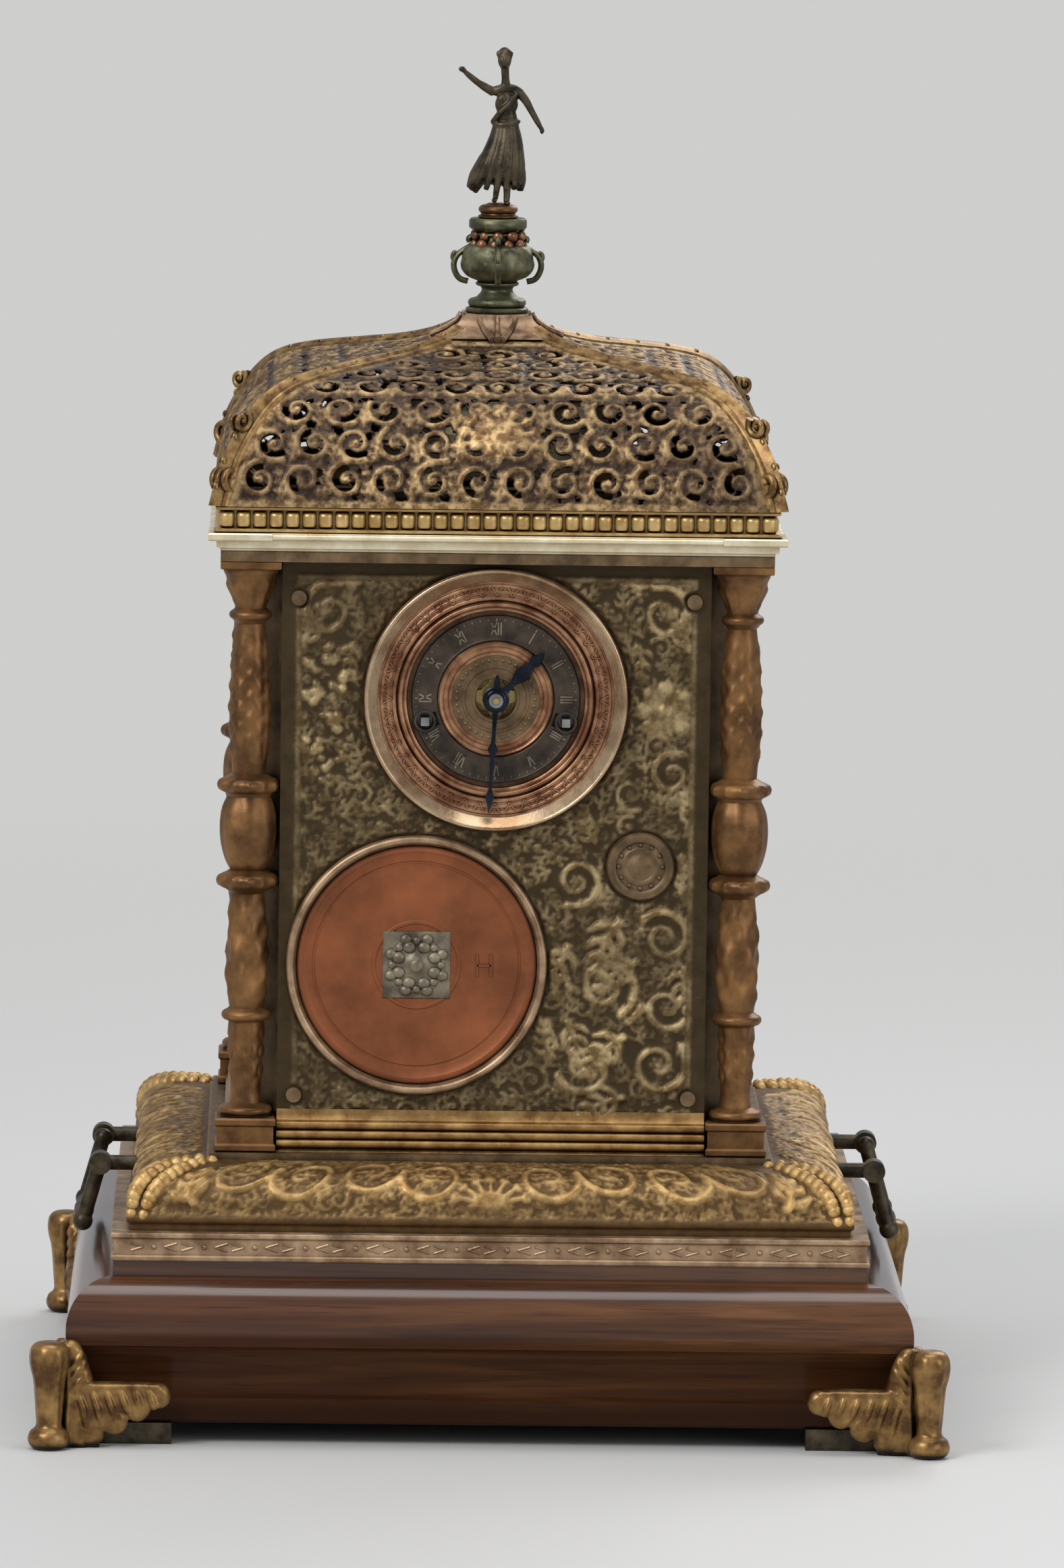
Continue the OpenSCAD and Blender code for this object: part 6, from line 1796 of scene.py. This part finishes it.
def build_disc():
    rim_in = DISC_R - 3.8
    line = [(rim_in, 0), (DISC_R, 0), (DISC_R, 2.4)]
    line += quarter(DISC_R - 1.6, 3.4, 1.5, 1.5, -20, 175, 14)
    line += [(DISC_R - 3.2, 2.9), (rim_in, 2.0), (rim_in, 0)]
    shape = ring_shape(line)
    on_front(DISC_AT, shape, "lower_disc_rim", FILLET_BRASS, "old_brass", "lower_dial_rim")
    r = rim_in - 0.4
    line = [(0, 1.8), (16, 1.8), (16.4, 2.15), (17.4, 2.15), (17.8, 1.8), (28, 1.75), (r - 7.2, 1.8),
            (r - 6.9, 1.5), (r - 6.2, 1.5), (r - 5.9, 1.8), (r - 2.6, 1.9), (r - 2.2, 2.25),
            (r - 1.0, 2.2), (r, 1.6), (r, 0.4)]
    shape = ring_shape([(0.01, 1.8)] + line[1:])
    # Three short bars in the shape of an H stand beside the boss
    for x0, y0, x1, y1 in ((24, -4.4, 24, 4.4), (29.4, -4.4, 29.4, 4.4), (24, 0, 29.4, 0)):
        shape.add(*bar_shape(x0, y0, x1, y1, 1.0, 1.6, 2.15), 1)
    on_front(DISC_AT, shape, "calendar_face", DISC_COPPER, "copper", "calendar_disc", body="calendar")
    boss = ring_shape([(0.01, 6.0), (1.6, 5.9), (2.6, 5.2), (3.2, 4.2), (4.4, 3.7), (5.2, 3.2),
                       (9.6, 2.6), (10.4, 2.9), (11.2, 2.6), (11.6, 1.7)], 64)
    for k in range(8):
        a = TAU * (k + 0.5) / 8
        for rr, q, h in ((7.6, 2.9, 2.0), (11.0, 2.5, 1.5)):
            boss.add(*ball((rr * math.cos(a), rr * math.sin(a), 2.4), (q, q * 0.9, h), 8, 12), 1)
        b = TAU * k / 8
        boss.add(*ball((9.6 * math.cos(b), 9.6 * math.sin(b), 2.2), (1.9, 1.9, 1.4), 8, 10), 1)
    square = square_sweep([(0, 2.3), (13.0, 2.3), (13.4, 1.9), (13.4, 1.7)])
    whole = Part()
    whole.join(square)
    whole.join(boss)
    on_front(DISC_AT, whole, "rosette_boss", SILVERED, "grey_metal", "calendar_boss", 45,
             body="calendar")


def build_medallion():
    place = (MEDALLION_X, CASE_Z + MEDALLION_Y)
    line = [(0.01, 3.9), (2.4, 3.7), (4, 2.9), (5.4, 2.5), (6.2, 2.9), (7.2, 2.9), (7.9, 2.3),
            (9.4, 2.2), (10.0, 2.9), (11.4, 3.2), (12.8, 2.9), (13.5, 1.8), (13.5, 0)]
    shape = ring_shape(line, 72)
    for k in range(12):
        a = TAU * k / 12
        shape.add(*ball((8.6 * math.cos(a), 8.6 * math.sin(a), 2.2), (1.0, 1.0, 0.7), 6, 8), 1)
    on_front(place, shape, "round_medallion", DULL_BRASS, "copper", "medallion")


HAND_BEVEL = 0.1


def outline_plate(points, thick):
    """A flat blade from its outline: (right, up) points, bevelled toward the front."""
    pts = np.asarray(points, dtype=float)
    n = len(pts)
    middle = pts.mean(axis=0)
    shape = Part()
    inner = middle + (pts - middle) * (1 - HAND_BEVEL)
    rows = [(pts, 0), (pts, thick * 0.55), (inner, thick)]
    points3 = [(x, y, h) for ring, h in rows for x, y in ring]
    faces = []
    for row in range(2):
        for i in range(n):
            j = (i + 1) % n
            faces.append((row * n + i, row * n + j, (row + 1) * n + j, (row + 1) * n + i))
    faces.append(tuple(range(2 * n, 3 * n)))
    faces.append(tuple(range(n))[::-1])
    shape.add(points3, faces)
    return shape


def hand_shape(widths, tail, eye_out, eye_in, angle, thick):
    """A pierced hand pointing up at first, then turned clockwise by its angle."""
    shape = Part()
    left = [(-w, d) for w, d in reversed(widths)]
    shape.join(outline_plate(widths + left, thick))
    if tail:
        shape.join(outline_plate([(-w, d) for w, d in reversed(tail)] + tail, thick))
    ring = ring_shape([(eye_in, 0), (eye_out, 0), (eye_out, thick * 0.7), (eye_out - 0.5, thick),
                       (eye_in + 0.4, thick), (eye_in, thick * 0.7), (eye_in, 0)], 40)
    shape.join(ring)
    out = Part()
    out.turned(turn_z(-angle), shape)
    return out


def build_hands():
    minute = hand_shape([(1.1, 3.4), (0.75, 13), (0.9, 17), (2.0, 19.5), (0.9, 22), (0.65, 28),
                         (0.7, 36), (1.7, 39), (0.8, 41.5), (0.1, 45)],
                        [(0.8, -3.4), (1.3, -7.4), (0.4, -10)], 4.0, 2.2, 183, 1.1)
    on_front(DIAL_AT, minute, "minute_hand_blued", BLUED, "blued_steel", "minute_hand", 35,
             "minute", 6.25)
    hour = hand_shape([(1.5, 4.6), (1.2, 9.5), (2.4, 12.4), (3.3, 15.2), (2.2, 18), (1.2, 19.4),
                       (2.4, 21.6), (1.6, 24), (0.1, 27)], None, 5.3, 3.3, 45.25, 1.1)
    on_front(DIAL_AT, hour, "hour_hand_blued", BLUED, "blued_steel", "hour_hand", 35, "hour", 4.05)


# Back of the case


def build_back():
    lo, hi = node_box("back_door")
    low, high = lo[2] - CASE_Z, hi[2] - CASE_Z
    half = hi[0]
    r = plate_relief(0.9)
    gx, gy = np.meshgrid(r.x, r.y)
    keep = np.maximum.reduce([np.abs(gx) - half + 6, low + 6 - gy, gy - high + 6])
    for s in (-1, 1):
        for k in range(9):
            r.leaf(s * 79.5, 14 + 25 * k, 90, 17, s * (-1) ** k * 30, 4, 0.34)
    for k in range(7):
        x = -60 + 20 * k
        r.leaf(x, 17, 0, 13, 20, 3, 0.4)
        r.leaf(x, ROOF_Z - CASE_Z - 11, 0, 13, -20, 3, 0.4)
    clear_screws(r, 3.8)
    piece = plate_piece("back_frame_relief", r, GREEN_RELIEF, PANEL_AT, 4, keep)
    piece.data.transform(Matrix.Rotation(math.pi, 4, "Z"))
    finish_piece(piece, "case", "green_bronze", "back_frame")
    r = Relief(-half, half, 0, high - low, 0.9)
    up = high - low
    for s in (-1, 1):
        scroll_column(r, s, 36, up - 40, 40)
        r.leaf(s * 12, up - 22, 90 - s * 50, 24, s * 50, 4)
        r.leaf(s * 12, 20, 90 - s * 60, 22, s * 40, 4)
    for y, q in ((up - 42, 9), (up / 2, 12), (42, 9)):
        flower(r, y, q)
    gx, gy = np.meshgrid(r.x, r.y)
    inside = np.minimum.reduce([half - np.abs(gx), gy, up - gy])
    r.height *= np.clip((inside - 12) / 2, 0, 1)
    bar = np.sqrt(np.clip(1 - ((inside - 4) / 2.6) ** 2, 0, 1)) * 1.3
    bar = np.maximum(bar, np.sqrt(np.clip(1 - ((inside - 10) / 1.2) ** 2, 0, 1)) * 0.9)
    r.height = np.maximum(r.height, bar)
    knob_x, knob_z = 62, (low + high) / 2 - low
    keep = np.hypot(gx + knob_x, gy - knob_z) - 3.6
    r.height *= np.clip((np.hypot(gx + knob_x, gy - knob_z) - 6) / 1.5, 0, 1)
    r.height = np.minimum(r.height, 1.7)
    r.soften(1)
    r.roughen(0.1, 9)

    def on_door(gx, gy, h):
        return np.stack([gx, -(hi[1] - 2.2 + h), lo[2] + gy], axis=-1)

    piece = r.plate("back_door_relief", GREEN_RELIEF, on_door, 2.0, keep)
    piece.data.transform(Matrix.Rotation(math.pi, 4, "Z"))
    finish_piece(piece, "door", "green_bronze")


build_upper_dial()
build_disc()
build_medallion()
build_hands()
build_back()

dress(DULL_BRASS, "back_door", "case_screws", "case_floor", "case_roof", "corner_posts")
dress(GILT, "door_knob")
dress(STEEL, "foot_screws", "going_arbor", "strike_arbor", "hand_nut", "anchor", "going_mainspring",
      "strike_mainspring", "going_click", "strike_click", "bell_hammer", "escape_wheel",
      "movement_pillars")
dress(CLOCK_BRASS, "movement_front_plate", "movement_back_plate", "going_barrel", "strike_barrel",
      "centre_wheel", "third_wheel", "fourth_wheel", "minute_wheel", "hour_wheel", "pin_wheel",
      "fly", "pendulum")
dress(BELL_METAL, "bell", "bell_standard")
dress(DARK_BRONZE, "handle_posts", "left_handle", "right_handle")
dress(WOOD, "plinth_block")


# Floor, background and light

FLOOR_R = 2.0
WORLD_GREY = 0.42


def build_stage():
    """A round pale floor that thins out to the even background."""
    n = Nodes("pale_floor")
    n.set(Base_Color=(0.60, 0.60, 0.59, 1), Roughness=0.6)
    length = n.add("ShaderNodeVectorMath", operation="LENGTH")
    n.link(n.coords(), length.inputs[0])
    clear = n.add("ShaderNodeBsdfTransparent")
    blend = n.add("ShaderNodeMixShader")
    n.link(n.ramp(n.maths("DIVIDE", length.outputs["Value"], FLOOR_R),
                  [(0.30, 0.0), (0.62, 0.62), (1.0, 1.0)]), blend.inputs[0])
    n.link(n.shader.outputs[0], blend.inputs[1])
    n.link(clear.outputs[0], blend.inputs[2])
    out = next(node for node in n.tree.nodes if node.type == "OUTPUT_MATERIAL")
    n.link(blend.outputs[0], out.inputs["Surface"])
    part = Part()
    count = 64
    reach = FLOOR_R / MM * 1.02
    angles = [TAU * k / count for k in range(count)]
    pts = [(0, 0, 0)] + [(reach * math.cos(a), reach * math.sin(a), 0) for a in angles]
    part.add(pts, [(0, 1 + k, 1 + (k + 1) % count) for k in range(count)])
    part.build("studio_floor", n.material)


def area_light(name, place, size, power):
    """A lamp that looks at the middle of the clock."""
    target = (0, 0, AIM_UP * MM)
    data = bpy.data.lights.new(name, "AREA")
    data.shape = "RECTANGLE"
    data.size, data.size_y = size
    data.energy = power
    lamp = bpy.data.objects.new(name, data)
    bpy.context.scene.collection.objects.link(lamp)
    place = Vector(place)
    lamp.matrix_world = (Matrix.Translation(place)
                         @ (Vector(target) - place).to_track_quat("-Z", "Y").to_matrix().to_4x4())


def build_light():
    world = bpy.data.worlds.new("studio")
    bpy.context.scene.world = world
    world.use_nodes = True
    tree = world.node_tree
    tree.nodes.clear()
    out = tree.nodes.new("ShaderNodeOutputWorld")
    soft = tree.nodes.new("ShaderNodeBackground")
    soft.inputs["Color"].default_value = (0.95, 0.96, 1.0, 1)
    soft.inputs["Strength"].default_value = WORLD_GREY
    seen = tree.nodes.new("ShaderNodeBackground")
    seen.inputs["Color"].default_value = (0.62, 0.62, 0.61, 1)
    path = tree.nodes.new("ShaderNodeLightPath")
    blend = tree.nodes.new("ShaderNodeMixShader")
    tree.links.new(path.outputs["Is Camera Ray"], blend.inputs[0])
    tree.links.new(soft.outputs[0], blend.inputs[1])
    tree.links.new(seen.outputs[0], blend.inputs[2])
    tree.links.new(blend.outputs[0], out.inputs[0])
    for name, place, size, watts in (("key", (-1.5, -1.9, 2.0), (1.1, 1.1), 46),
                                     ("fill", (2.0, -1.7, 1.0), (1.4, 1.4), 15),
                                     ("top", (0.0, -0.2, 2.4), (1.6, 1.2), 20),
                                     ("back", (0.9, 1.7, 1.6), (1.2, 1.0), 16)):
        area_light(name, place, size, watts)


make_camera()
build_stage()
build_light()
bpy.context.scene.view_settings.view_transform = "Standard"
